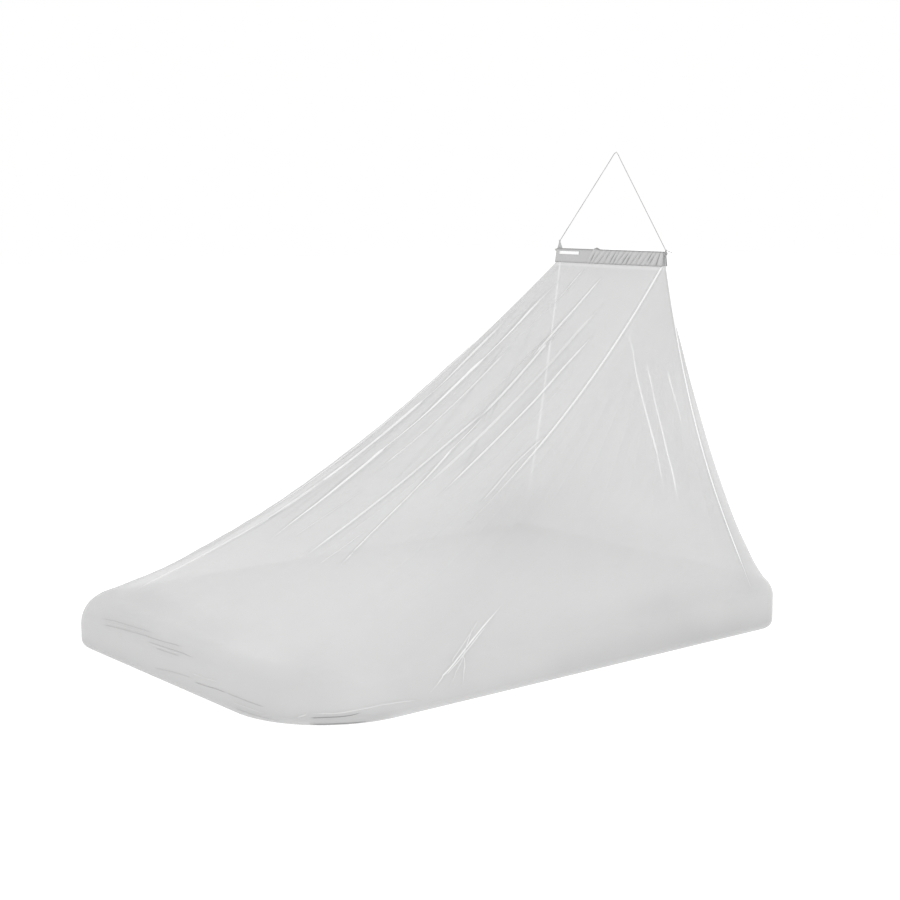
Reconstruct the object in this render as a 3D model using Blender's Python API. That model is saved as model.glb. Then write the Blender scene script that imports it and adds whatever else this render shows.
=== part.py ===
"""Mosquito net canopy that hangs from one cord and falls over a mattress.

A cord in a V holds a short spreader bar in a ruffled heading. Four net panels
run from the heading to the four edges of a plain mattress, fall over its edges
and are tucked under it.

Units are metres. The pieces are modelled in the bed's frame: +X runs from the
foot to the head, +Y from the near side to the far side, +Z up, and the origin
is at the middle of the surface that the bed stands on. One empty then moves
everything so that the hanging point is the origin.
"""
import math

import bpy
import bmesh
import numpy as np

# --- Driving dimensions -----------------------------------------------------
BED_LENGTH = 2.03
BED_WIDTH = 1.37
BED_HEIGHT = 0.178
BASE_ROUND = 0.025           # rounding of the mattress's bottom edge
CORNER_RADIUS = {"far_foot": 0.125, "near_foot": 0.34, "near_head": 0.095, "far_head": 0.09}
TIGHTEST_CORNER = 0.012      # least plan radius when an outline is drawn in

NET_THICKNESS = 0.002
GAP = 0.0003                 # between pieces that touch
EDGE_CLEARANCE = 0.003       # between the net and the mattress's edges
EDGE_EASE = 0.006            # the mattress's top edge is rounder than the net's fall
TUCK_WIDTH = 0.100           # net that lies under the mattress

HEADING_X = 0.829            # the bar stands 0.19 m in from the head edge
HEADING_Y = 0.009
HEADING_LENGTH = 0.552
HEADING_HALF_DEPTH = 0.013   # half the distance between its two lower edges
HEADING_TOP = 1.294
NET_TOP = 1.242
PLEAT_START_Y = 0.098        # the far third of the heading is flat
PLEAT_COUNT = 15
PLEAT_HEIGHT = 0.0055
PLEAT_LEAN = 0.70            # a pleat's shift along the heading for each metre up
PLEAT_EASE = 0.06            # the lean fades out over this length at the ends
PLEAT_UNEVEN = 0.25          # share by which the pleats' heights differ
TUFT_Y = 0.075               # a small gather stands up from the heading's top
TUFT_HEIGHT = 0.006
TUFT_HALF_WIDTH = 0.015

BAR_DIAMETER = 0.009
SLEEVE_GAP = 0.0005          # between the bar and the sleeve's facets
BAR_LENGTH = 0.570
CORD_DIAMETER = 0.003
HANG_POINT = (0.829, -0.018, 1.641)
CORD_BEND = 0.012            # how far from the top the cord's legs start to round
CORD_TOP_DROP = 0.0035       # the round top lies this much under the legs' meeting point
KNOT_RADIUS = 0.0048
KNOT_STRETCH = (0.95, 0.95, 0.90)
TAB_HEIGHT = 0.021
TAB_BASE = 0.026
TAB_TIP = 0.007
TAB_SLANT = 0.008            # how far the tab's outer edge leans in at its tip
TAB_THICKNESS = 0.0024
TAIL_LENGTH = 0.030
TAIL_DROP = 0.007
TAIL_DIAMETER = 0.0024
LABEL_SIZE = (0.105, 0.0012, 0.012)
LABEL_Y = 0.212
LABEL_Z = 1.278
CREASE_ANGLE = math.radians(40)

FREE_ROWS = 11               # steps of a rib from the heading to the mattress
TOP_ROWS = 4                 # steps over the mattress's top edge
BASE_ROWS = 3                # steps around its bottom edge

# The way round an outline counts 1 for each panel, from the far foot corner.
# A seam's places at the heading and at the edge of the bed are given so.
SEAMS = (
    # at heading, at edge
    (0.0, 0.0),              # far foot seam
    (1.0, 1.0),              # near foot seam
    (2.0, 1.93),             # near head seam, which meets the near edge
    (3.0, 3.0),              # far head seam
    (4.0, 4.0),
)
# How deep the net hangs around the bed: the bow of a rib's height, how far that
# bow sits towards its lower end, and the rounding of the mattress's top edge.
HANG = (
    # at edge, bow, shift, rounding
    (0.00, 0.52, 0.10, 0.110),
    (0.15, 0.50, 0.06, 0.090),
    (1.00, 0.50, -0.14, 0.080),
    (1.50, 0.50, -0.20, 0.075),
    (1.93, 0.52, -0.24, 0.070),
    (2.02, 0.50, 0.23, 0.070),
    (2.20, 0.05, 0.05, 0.070),
    (2.50, -0.05, 0.00, 0.070),
    (2.80, 0.05, 0.00, 0.070),
    (3.03, 0.30, 0.00, 0.070),
    (3.50, 0.48, 0.00, 0.080),
    (3.85, 0.48, 0.03, 0.090),
    (4.00, 0.52, 0.10, 0.110),
)

# Each panel's tension folds. Shares run from seam to seam, 0 to 1, along the
# heading and along the bed's edge. Height is in millimetres. The fold starts
# and ends at a share of the way down the rib.
FOOT_FOLDS = (
    # at heading, at edge, height, start, end
    (0.08, 0.020, 7.0, 0.00, 0.95),
    (0.20, 0.045, 8.0, 0.02, 0.85),
    (0.33, 0.080, 9.0, 0.03, 0.42),
    (0.40, 0.160, 13.0, 0.02, 0.70),
    (0.47, 0.270, 8.0, 0.52, 0.80),
    (0.54, 0.440, 11.0, 0.04, 0.52),
    (0.59, 0.505, 14.0, 0.10, 0.80),
    (0.66, 0.555, 10.0, 0.30, 0.78),
    (0.75, 0.600, 12.0, 0.07, 0.55),
    (0.84, 0.720, 11.0, 0.14, 0.55),
    (0.91, 0.820, 6.0, 0.20, 0.70),
    (0.96, 0.920, 5.0, 0.30, 0.80),
)
NEAR_FOLDS = (
    (0.06, 0.060, 4.0, 0.25, 0.85),
    (0.13, 0.125, 3.0, 0.30, 0.75),
    (0.24, 0.230, 4.0, 0.20, 0.60),
    (0.36, 0.350, 3.0, 0.20, 0.60),
    (0.48, 0.470, 4.0, 0.18, 0.65),
    (0.60, 0.590, 3.0, 0.20, 0.55),
    (0.72, 0.710, 4.0, 0.18, 0.70),
    (0.84, 0.830, 3.0, 0.20, 0.60),
    (0.94, 0.940, 4.0, 0.15, 0.80),
)
HEAD_FOLDS = (
    (0.05, 0.065, 3.0, 0.10, 0.90),
    (0.12, 0.130, 4.0, 0.10, 0.60),
    (0.21, 0.270, 7.0, 0.36, 0.56),
    (0.29, 0.440, 9.0, 0.32, 0.80),
    (0.37, 0.550, 9.0, 0.22, 0.76),
    (0.52, 0.680, 6.0, 0.15, 0.60),
    (0.72, 0.810, 5.0, 0.15, 0.60),
    (0.92, 0.950, 4.0, 0.10, 0.90),
)
FAR_FOLDS = (
    (0.06, 0.040, 4.0, 0.15, 0.85),
    (0.16, 0.160, 3.0, 0.20, 0.60),
    (0.29, 0.290, 4.0, 0.18, 0.65),
    (0.42, 0.420, 3.0, 0.20, 0.55),
    (0.56, 0.560, 4.0, 0.20, 0.60),
    (0.70, 0.700, 3.0, 0.20, 0.55),
    (0.84, 0.840, 4.0, 0.25, 0.70),
    (0.96, 0.960, 5.0, 0.15, 0.90),
)
VALLEY_SHARE = 0.6           # depth of the valley beside a fold, for its height
FOLD_FADE = 0.10             # share of a rib over which a fold fades out

# Panel name, direction of travel along its edge, outward direction, its folds.
PANELS = (
    ("foot_panel", (0.0, -1.0), (-1.0, 0.0), FOOT_FOLDS),
    ("near_side_panel", (1.0, 0.0), (0.0, -1.0), NEAR_FOLDS),
    ("head_panel", (0.0, 1.0), (1.0, 0.0), HEAD_FOLDS),
    ("far_side_panel", (-1.0, 0.0), (0.0, 1.0), FAR_FOLDS),
)

# --- Derived dimensions -----------------------------------------------------
BED_BASE = NET_THICKNESS + GAP
BED_TOP = BED_BASE + BED_HEIGHT
NET_OFFSET = EDGE_CLEARANCE + NET_THICKNESS / 2
TUCK_OFFSET = GAP + NET_THICKNESS / 2
BAR_RADIUS = BAR_DIAMETER / 2
SLEEVE_BEND = BAR_RADIUS + SLEEVE_GAP + NET_THICKNESS / 2
BAR_Z = HEADING_TOP - NET_THICKNESS / 2 - SLEEVE_BEND


# --- Small helpers ----------------------------------------------------------
def clear_scene():
    for item in list(bpy.data.objects):
        bpy.data.objects.remove(item, do_unlink=True)


def make_material(name, colour, roughness, metallic=0.0):
    material = bpy.data.materials.new(name)
    material.use_nodes = True
    shader = material.node_tree.nodes["Principled BSDF"]
    shader.inputs["Base Color"].default_value = (*colour, 1.0)
    shader.inputs["Roughness"].default_value = roughness
    shader.inputs["Metallic"].default_value = metallic
    return material


def place(item, material, frame):
    """Give an object its material and hang it under the canopy's frame."""
    item.data.materials.append(material)
    item.parent = frame
    return item


def mesh_object(name, points, faces, material, frame):
    mesh = bpy.data.meshes.new(name)
    mesh.from_pydata([tuple(map(float, point)) for point in points], [], faces)
    shell = bmesh.new()
    shell.from_mesh(mesh)
    bmesh.ops.recalc_face_normals(shell, faces=shell.faces)
    shell.to_mesh(mesh)
    shell.free()
    mesh.shade_smooth()
    mesh.set_sharp_from_angle(angle=CREASE_ANGLE)
    item = bpy.data.objects.new(name, mesh)
    bpy.context.collection.objects.link(item)
    return place(item, material, frame)


def smooth_step(value):
    value = np.clip(value, 0.0, 1.0)
    return value * value * (3.0 - 2.0 * value)


def sheet_faces(columns, rows):
    """Faces of a closed sheet whose outer grid is followed by its inner grid.

    Both sides are split along the same diagonal, so a twisted cell keeps its thickness.
    """
    inner = columns * rows
    faces = []
    for column in range(columns - 1):
        for row in range(rows - 1):
            a = column * rows + row
            b, c, d = a + 1, a + rows + 1, a + rows
            for triangle in ((a, b, c), (a, c, d)):
                faces.append(triangle)
                faces.append(tuple(inner + corner for corner in reversed(triangle)))
    for column in range(columns - 1):
        for row in (0, rows - 1):
            a = column * rows + row
            faces.append((a, a + rows, inner + a + rows, inner + a))
    for row in range(rows - 1):
        for column in (0, columns - 1):
            a = column * rows + row
            faces.append((a, a + 1, inner + a + 1, inner + a))
    return faces


# --- Plan outlines ----------------------------------------------------------
class Outline:
    """A rectangle with round corners, walked panel by panel from seam to seam.

    A seam stands at the middle of each corner. The corners are listed in the
    order far foot, near foot, near head, far head.
    """

    def __init__(self, half_length, half_width, radii, centre=(0.0, 0.0)):
        self.half = np.array([half_length, half_width])
        self.radii = radii
        self.centre = np.array(centre)

    def point(self, way, inset=0.0):
        """Point and outward direction at a place on the way round."""
        panel, share = int(way % 4), way % 1
        travel = np.array(PANELS[panel][1])
        outward = np.array(PANELS[panel][2])
        first, last = self.radii[panel], self.radii[(panel + 1) % 4]
        half_run = np.abs(travel) @ self.half
        reach = np.abs(outward) @ self.half
        arcs = (first * math.pi / 4, last * math.pi / 4)
        straight = 2 * half_run - first - last
        run = share * (arcs[0] + straight + arcs[1])
        half_run -= inset
        reach -= inset
        first = max(first - inset, min(first, TIGHTEST_CORNER))
        last = max(last - inset, min(last, TIGHTEST_CORNER))
        if run < arcs[0]:
            angle = (run / arcs[0] - 1) * math.pi / 4
            along = first - half_run + first * math.sin(angle)
            away = reach - first + first * math.cos(angle)
        elif run > arcs[0] + straight:
            angle = (run - arcs[0] - straight) / arcs[1] * math.pi / 4
            along = half_run - last + last * math.sin(angle)
            away = reach - last + last * math.cos(angle)
        else:
            angle = 0.0
            part = (run - arcs[0]) / max(straight, 1e-9)
            along = first - half_run + part * (2 * half_run - first - last)
            away = reach
        place_at = self.centre + travel * along + outward * away
        normal = travel * math.sin(angle) + outward * math.cos(angle)
        return place_at, normal

    def offset_point(self, way, inset):
        """As point, but an outward offset leaves the corners' centres alone."""
        if inset >= 0:
            return self.point(way, inset)[0]
        edge, normal = self.point(way)
        return edge - inset * normal


BED_OUTLINE = Outline(BED_LENGTH / 2, BED_WIDTH / 2, tuple(CORNER_RADIUS.values()))
HEADING_OUTLINE = Outline(HEADING_HALF_DEPTH, HEADING_LENGTH / 2, (HEADING_HALF_DEPTH,) * 4,
                          (HEADING_X, HEADING_Y))


# --- The net ----------------------------------------------------------------
def panel_columns(panel):
    """Columns of a panel: its seams, its folds, and a valley between each pair."""
    seams = [(0.0, 0.0, 0.0, 0.0, 1.0), (1.0, 1.0, 0.0, 0.0, 1.0)]
    ridges = [seams[0], *PANELS[panel][3], seams[1]]
    columns = [seams[0]]
    for left, right in zip(ridges, ridges[1:]):
        middle = [(a + b) / 2 for a, b in zip(left, right)]
        middle[2] *= -VALLEY_SHARE
        columns.append(tuple(middle))
        columns.append(right)
    (heading_a, edge_a), (heading_b, edge_b) = SEAMS[panel], SEAMS[panel + 1]
    return [(heading_a + (heading_b - heading_a) * column[0], edge_a + (edge_b - edge_a) * column[1],
             *column[2:]) for column in columns]


def hang_at(at_edge, item):
    """Bow, shift or rounding at a place around the bed, from its table."""
    places = [row[0] for row in HANG]
    return float(np.interp(at_edge % 4, places, [row[item] for row in HANG]))


def rib(at_heading, at_edge):
    """Middle line of the net from the heading to the end of its tucked margin."""
    bow, shift, rounding = (hang_at(at_edge, item) for item in (1, 2, 3))
    start = np.append(HEADING_OUTLINE.point(at_heading)[0], NET_TOP)
    outward = BED_OUTLINE.point(at_edge)[1]
    top_centre = BED_TOP - rounding
    lean = math.pi / 4

    def over_edge(angle):
        reach = rounding + NET_OFFSET
        plan = BED_OUTLINE.offset_point(at_edge, rounding - reach * math.sin(angle))
        return np.append(plan, top_centre + reach * math.cos(angle))

    for _ in range(12):
        touch = over_edge(lean)
        drop = start[2] - touch[2]
        inward = (start - touch)[:2] @ -outward
        lean = math.atan2(drop * (1 - bow - shift), max(inward, 0.001))
    points = []
    for way in np.linspace(0, 1, FREE_ROWS + 1):
        point = start + (touch - start) * way
        hang = bow + shift * (2 * way - 1)
        point[2] = start[2] - drop * (way + hang * way * (1 - way))
        points.append(point)
    for angle in np.linspace(lean, math.pi / 2, TOP_ROWS + 1)[1:]:
        points.append(over_edge(angle))
    for part in np.linspace(0, 1, BASE_ROWS + 1):
        angle = part * math.pi / 2
        reach = BASE_ROUND + NET_OFFSET + (TUCK_OFFSET - NET_OFFSET) * part
        plan = BED_OUTLINE.offset_point(at_edge, BASE_ROUND - reach * math.cos(angle))
        points.append(np.append(plan, BED_BASE + BASE_ROUND - reach * math.sin(angle)))
    plan = BED_OUTLINE.offset_point(at_edge, BASE_ROUND + TUCK_WIDTH)
    points.append(np.append(plan, NET_THICKNESS / 2))
    return np.array(points)


def grid_normals(grid, top_normals):
    """Outward unit normals of a closed ring of columns, level at the heading."""
    across = np.roll(grid, -1, axis=0) - np.roll(grid, 1, axis=0)
    down = np.gradient(grid, axis=1)
    normals = np.cross(down, across)
    normals[:, 0] = top_normals
    normals[:, -2:] = (0.0, 0.0, -1.0)
    return normals / np.linalg.norm(normals, axis=2, keepdims=True)


def fold_lift(column, rows):
    """Height of a fold at each row of its rib."""
    height, start, end = column[2] / 1000, column[3], column[4]
    way = np.arange(rows) / FREE_ROWS
    rise = smooth_step((way - start) / FOLD_FADE)
    fall = smooth_step((end - way) / FOLD_FADE)
    return height * rise * fall


def drape():
    """Grid of the whole net, its normals, and each panel's range of columns."""
    grid, lifts, ranges, tops = [], [], [], []
    for panel in range(len(PANELS)):
        columns = panel_columns(panel)
        ranges.append((len(grid), len(grid) + len(columns) - 1))
        for column in columns[:-1]:
            line = rib(column[0], column[1])
            grid.append(line)
            lifts.append(fold_lift(column, len(line)))
            tops.append((*HEADING_OUTLINE.point(column[0])[1], 0.0))
    grid = np.array(grid)
    grid = grid + grid_normals(grid, tops) * np.array(lifts)[:, :, None]
    return grid, grid_normals(grid, tops), ranges


def net_panels(material, frame):
    grid, normals, ranges = drape()
    count, rows = grid.shape[:2]
    for (name, *_rest), (first, last) in zip(PANELS, ranges):
        picks = [index % count for index in range(first, last + 1)]
        middle = grid[picks].copy()
        normal = normals[picks]
        for end, side in ((0, 1), (-1, -1)):
            seam = picks[end]
            across = grid[(seam + 1) % count] - grid[seam - 1]
            across /= np.linalg.norm(across, axis=1, keepdims=True)
            middle[end] += side * across * GAP / 2
        half = normal * NET_THICKNESS / 2
        points = np.concatenate([(middle + half).reshape(-1, 3), (middle - half).reshape(-1, 3)])
        mesh_object(name, points, sheet_faces(len(picks), rows), material, frame)


# --- The mattress -----------------------------------------------------------
def mattress(material, frame):
    """Plain mattress on the same columns as the net, so that their gap is even."""
    places = [column[1] for panel in range(len(PANELS)) for column in panel_columns(panel)[:-1]]
    around = len(places)
    points = []
    for part in np.linspace(0, 1, BASE_ROWS + 1):
        angle = part * math.pi / 2
        inset = BASE_ROUND * (1 - math.sin(angle))
        height = BED_BASE + BASE_ROUND * (1 - math.cos(angle))
        points += [(*BED_OUTLINE.point(place, inset)[0], height) for place in places]
    for part in np.linspace(0, 1, TOP_ROWS + 2):
        angle = part * math.pi / 2
        for place in places:
            rounding = hang_at(place, 3) + EDGE_EASE
            inset = rounding * (1 - math.cos(angle))
            height = BED_TOP + rounding * (math.sin(angle) - 1)
            points.append((*BED_OUTLINE.point(place, inset)[0], height))
    rings = len(points) // around
    faces = [tuple(range(around)), tuple(range(len(points) - around, len(points)))]
    for ring in range(rings - 1):
        for step in range(around):
            a, b = ring * around + step, ring * around + (step + 1) % around
            faces.append((a, b, b + around, a + around))
    return mesh_object("mattress", points, faces, material, frame)


# --- The heading ------------------------------------------------------------
def heading_section():
    """Middle line of the sleeve: up the foot side, over the bar, down the head side."""
    low = NET_TOP + GAP
    side = []
    for part in (0.0, 0.33, 0.66):
        depth = HEADING_HALF_DEPTH + (SLEEVE_BEND - HEADING_HALF_DEPTH) * part
        side.append((-depth, low + (BAR_Z - low) * part))
    arc = [(-SLEEVE_BEND * math.cos(angle), BAR_Z + SLEEVE_BEND * math.sin(angle))
           for angle in np.linspace(0, math.pi, 7)]
    return np.array(side + arc + [(-depth, height) for depth, height in reversed(side)])


def heading(material, frame):
    """Sleeve over the bar: flat on its far third, then leaning pleats of uneven depth."""
    section = heading_section()
    tangent = np.gradient(section, axis=0)
    normal = np.stack([-tangent[:, 1], tangent[:, 0]], axis=1)
    normal /= np.linalg.norm(normal, axis=1, keepdims=True)
    normal[0], normal[-1] = (-1.0, 0.0), (1.0, 0.0)
    low, high = section[:, 1].min(), section[:, 1].max()
    half = HEADING_LENGTH / 2
    flat = np.linspace(HEADING_Y + half, PLEAT_START_Y, 6)
    pleats = np.linspace(PLEAT_START_Y, HEADING_Y - half, 2 * PLEAT_COUNT + 1)[1:]
    stations = [(y, 0.0) for y in flat]
    for index, y in enumerate(pleats):
        uneven = 1 - PLEAT_UNEVEN + PLEAT_UNEVEN * math.sin(2.3 * index)
        stations.append((y, uneven if index % 2 == 0 else 0.0))
    outer, inner = [], []
    for y, pleat in stations:
        lean = PLEAT_LEAN * smooth_step((half - abs(y - HEADING_Y)) / PLEAT_EASE)
        tuft = TUFT_HEIGHT * max(0.0, 1 - abs(y - TUFT_Y) / TUFT_HALF_WIDTH)
        for (depth, height), (nx, nz) in zip(section, normal):
            up = (height - low) / (high - low)
            swell = pleat * PLEAT_HEIGHT * math.sin(math.pi * (0.12 + 0.82 * up))
            along = y - lean * (height - low)
            raise_top = tuft * smooth_step((up - 0.7) / 0.3)
            for reach, line in ((NET_THICKNESS / 2, outer), (-NET_THICKNESS / 2, inner)):
                line.append((HEADING_X + depth + nx * (reach + swell), along,
                             height + nz * (reach + swell * 0.3) + raise_top))
    return mesh_object("heading", outer + inner, sheet_faces(len(stations), len(section)),
                       material, frame)


def heading_tab(material, frame):
    """Small cloth tab that stands up at the far end of the heading."""
    foot = HEADING_TOP + GAP
    outer_y = HEADING_Y + HEADING_LENGTH / 2
    profile = ((outer_y - TAB_BASE, foot), (outer_y, foot),
               (outer_y - TAB_SLANT, foot + TAB_HEIGHT),
               (outer_y - TAB_SLANT - TAB_TIP, foot + TAB_HEIGHT))
    points = [(HEADING_X + side * TAB_THICKNESS / 2, y, z) for side in (-1, 1) for y, z in profile]
    faces = [(0, 1, 2, 3), (4, 5, 6, 7)]
    faces += [(i, (i + 1) % 4, (i + 1) % 4 + 4, i + 4) for i in range(4)]
    return mesh_object("heading_tab", points, faces, material, frame)


def blank_label(material, frame):
    """Plain white strip sewn on the heading's foot side, following its slope."""
    slope = (HEADING_HALF_DEPTH - SLEEVE_BEND) / (BAR_Z - NET_TOP - GAP)
    length, thickness, height = LABEL_SIZE
    points = []
    for reach in (GAP, GAP + thickness):
        for y in (LABEL_Y - length / 2, LABEL_Y + length / 2):
            for z in (LABEL_Z - height / 2, LABEL_Z + height / 2):
                depth = SLEEVE_BEND + slope * (BAR_Z - z) + NET_THICKNESS / 2 + reach + 0.0001
                points.append((HEADING_X - depth, y, z))
    faces = [(0, 1, 3, 2), (4, 5, 7, 6), (0, 1, 5, 4), (2, 3, 7, 6), (0, 2, 6, 4), (1, 3, 7, 5)]
    return mesh_object("blank_label", points, faces, material, frame)


def spreader_bar(material, frame):
    bpy.ops.mesh.primitive_cylinder_add(vertices=20, radius=BAR_RADIUS, depth=BAR_LENGTH,
                                        location=(HEADING_X, HEADING_Y, BAR_Z),
                                        rotation=(math.pi / 2, 0.0, 0.0))
    bar = bpy.context.object
    bar.name = "spreader_bar"
    bar.data.shade_smooth()
    bar.data.set_sharp_from_angle(angle=CREASE_ANGLE)
    return place(bar, material, frame)


# --- The cord and its knots -------------------------------------------------
def far_knot_centre():
    tip_y = HEADING_Y + HEADING_LENGTH / 2 - TAB_SLANT - TAB_TIP / 2
    return np.array([HEADING_X, tip_y, HEADING_TOP + GAP + TAB_HEIGHT + GAP + KNOT_RADIUS])


def near_knot_centre():
    wrap = BAR_RADIUS + GAP + CORD_DIAMETER
    end_y = HEADING_Y - (HEADING_LENGTH + BAR_LENGTH) / 4
    return np.array([HEADING_X, end_y, BAR_Z + wrap + KNOT_RADIUS * 0.6])


def cord_route():
    """Hand-chosen points of the V: two straight legs and a small round top."""
    top = np.array([HANG_POINT[0], HANG_POINT[1], HANG_POINT[2] + CORD_DIAMETER / 2 + CORD_TOP_DROP])
    legs = []
    for knot in (far_knot_centre(), near_knot_centre()):
        way = top - knot
        length = np.linalg.norm(way)
        begin, stop = (KNOT_RADIUS + 2 * GAP) / length, 1 - CORD_BEND / length
        shares = begin + (stop - begin) * np.array([0.0, 0.2, 0.4, 0.6, 0.8, 0.93, 1.0])
        legs.append([knot + way * share for share in shares])
    round_top = [top - (0.0, 0.0, CORD_TOP_DROP)]
    return np.array(legs[0] + round_top + legs[1][::-1])


def smooth_route(points, spacing):
    """Points at an even spacing on a smooth curve through the given ones."""
    knots = np.concatenate([[0.0], np.cumsum(np.linalg.norm(np.diff(points, axis=0), axis=1))])
    slopes = np.gradient(points, knots, axis=0)
    result = []
    for at in np.linspace(0.0, knots[-1], int(round(knots[-1] / spacing)) + 1):
        i = min(int(np.searchsorted(knots, at, side="right")) - 1, len(knots) - 2)
        span = knots[i + 1] - knots[i]
        t = (at - knots[i]) / span
        result.append((2 * t**3 - 3 * t**2 + 1) * points[i] + (t**3 - 2 * t**2 + t) * span * slopes[i]
                      + (3 * t**2 - 2 * t**3) * points[i + 1] + (t**3 - t**2) * span * slopes[i + 1])
    return result


def tube(name, points, radius, material, frame):
    curve = bpy.data.curves.new(name, "CURVE")
    curve.dimensions = "3D"
    curve.bevel_depth = radius
    curve.bevel_resolution = 2
    curve.use_fill_caps = True
    line = curve.splines.new("POLY")
    line.points.add(len(points) - 1)
    for knot, point in zip(line.points, points):
        knot.co = (*map(float, point), 1.0)
    item = bpy.data.objects.new(name, curve)
    bpy.context.collection.objects.link(item)
    return place(item, material, frame)


def lump(name, centre, material, frame):
    bpy.ops.mesh.primitive_uv_sphere_add(segments=14, ring_count=9, radius=KNOT_RADIUS, location=centre)
    item = bpy.context.object
    item.name = name
    for vertex in item.data.vertices:
        for axis, stretch in enumerate(KNOT_STRETCH):
            vertex.co[axis] *= stretch
    item.data.shade_smooth()
    return place(item, material, frame)


def fuse(item, guide, frame):
    """Join a guide's solid to an object. The guide itself isn't a piece."""
    guide.parent = frame
    guide.hide_render = True
    guide.display_type = "WIRE"
    union = item.modifiers.new("join " + guide.name, "BOOLEAN")
    union.operation = "UNION"
    union.object = guide


def near_knot(material, frame):
    """Knot over the bar's near end: one turn around the bar, the knot, a free tail."""
    centre = near_knot_centre()
    knot = lump("near_knot", centre, material, frame)
    bpy.ops.mesh.primitive_torus_add(major_radius=BAR_RADIUS + GAP + CORD_DIAMETER / 2,
                                     minor_radius=CORD_DIAMETER / 2, major_segments=20,
                                     minor_segments=8, location=(HEADING_X, centre[1], BAR_Z),
                                     rotation=(math.pi / 2, 0.0, 0.0))
    turn = bpy.context.object
    turn.name = "turn_guide"
    fuse(knot, turn, frame)
    tail_angle = math.atan2(TAIL_DROP, TAIL_LENGTH)
    bpy.ops.mesh.primitive_cylinder_add(vertices=8, radius=TAIL_DIAMETER / 2, depth=TAIL_LENGTH,
                                        location=centre - (0.0, TAIL_LENGTH / 2, TAIL_DROP / 2),
                                        rotation=(math.pi / 2 + tail_angle, 0.0, 0.0))
    tail = bpy.context.object
    tail.name = "tail_guide"
    fuse(knot, tail, frame)
    return knot


# --- The whole canopy -------------------------------------------------------
def build():
    clear_scene()
    frame = bpy.data.objects.new("canopy_frame", None)
    bpy.context.collection.objects.link(frame)
    frame.location = [-value for value in HANG_POINT]

    net = make_material("net", (0.78, 0.78, 0.79), 0.85)
    woven = make_material("heading_cloth", (0.62, 0.62, 0.63), 0.85)
    cord = make_material("cord", (0.55, 0.55, 0.56), 0.7)
    rod = make_material("bar", (0.35, 0.35, 0.36), 0.45)
    label = make_material("label", (0.95, 0.95, 0.95), 0.6)
    ticking = make_material("mattress_cloth", (0.80, 0.80, 0.81), 0.9)

    net_panels(net, frame)
    mattress(ticking, frame)
    heading(woven, frame)
    heading_tab(woven, frame)
    blank_label(label, frame)
    spreader_bar(rod, frame)
    tube("hanging_cord", smooth_route(cord_route(), 4 * CORD_DIAMETER), CORD_DIAMETER / 2, cord, frame)
    lump("far_knot", far_knot_centre(), cord, frame)
    near_knot(cord, frame)


build()
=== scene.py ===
"""Looks of a mosquito net canopy that hangs from one cord over a plain mattress.

Sizes are metres and places are in the bed's frame: +X runs from the foot to the
head, +Y from the near side to the far side, +Z up, with the origin at the middle
of the surface that the bed stands on. to_row() moves them so that the hanging
point is the origin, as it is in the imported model.
"""

import math

import bpy
import numpy as np
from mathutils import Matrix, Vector


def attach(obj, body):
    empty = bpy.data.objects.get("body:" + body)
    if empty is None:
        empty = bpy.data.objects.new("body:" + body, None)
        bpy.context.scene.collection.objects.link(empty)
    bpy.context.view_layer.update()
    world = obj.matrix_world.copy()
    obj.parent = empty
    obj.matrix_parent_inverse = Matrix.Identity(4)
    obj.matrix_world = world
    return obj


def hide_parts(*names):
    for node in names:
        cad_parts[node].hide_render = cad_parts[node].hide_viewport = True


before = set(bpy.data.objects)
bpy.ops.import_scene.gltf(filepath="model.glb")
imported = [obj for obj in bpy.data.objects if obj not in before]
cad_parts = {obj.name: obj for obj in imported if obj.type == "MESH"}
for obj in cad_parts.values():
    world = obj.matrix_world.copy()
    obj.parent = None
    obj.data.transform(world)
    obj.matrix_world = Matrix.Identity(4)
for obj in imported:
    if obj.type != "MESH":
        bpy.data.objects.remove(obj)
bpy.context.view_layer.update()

# --- Camera and stage
CAMERA_PLACE = (-4.3605, -4.4137, -0.1521)       # in the row's frame
CAMERA_TILT = 81.474
CAMERA_TURN = -39.15
LENS = 67.956
SENSOR = 36.0
FLOOR_SIZE = 60.0
FLOOR_DROP = 0.0005
FLOOR_GLOW = 1.0
WHITE = (1.0, 1.0, 1.0, 1.0)
SKY_STRENGTH = 1.0
INNER_PLACE = (-0.45, 0.02, -1.42)
INNER_WATTS = 2.5

# --- The hang, as in the solids
HANG_POINT = np.array((0.829, -0.018, 1.641))
BED_LENGTH = 2.03
BED_WIDTH = 1.37
BED_HEIGHT = 0.178
BASE_ROUND = 0.025
CORNER_RADII = (0.125, 0.34, 0.095, 0.09)        # far foot, near foot, near head, far head
TIGHTEST_CORNER = 0.012
NET_THICKNESS = 0.002
GAP = 0.0003
EDGE_CLEARANCE = 0.003
EDGE_EASE = 0.006
TUCK_WIDTH = 0.100
HEADING_X = 0.829
HEADING_Y = 0.009
HEADING_LENGTH = 0.552
HEADING_HALF_DEPTH = 0.013
HEADING_TOP = 1.294
NET_TOP = 1.242
BAR_RADIUS = 0.0045
SLEEVE_GAP = 0.0005
BED_BASE = NET_THICKNESS + GAP
BED_TOP = BED_BASE + BED_HEIGHT
NET_OFFSET = EDGE_CLEARANCE + NET_THICKNESS / 2
TUCK_OFFSET = GAP + NET_THICKNESS / 2
SLEEVE_BEND = BAR_RADIUS + SLEEVE_GAP + NET_THICKNESS / 2
BAR_Z = HEADING_TOP - NET_THICKNESS / 2 - SLEEVE_BEND

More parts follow.
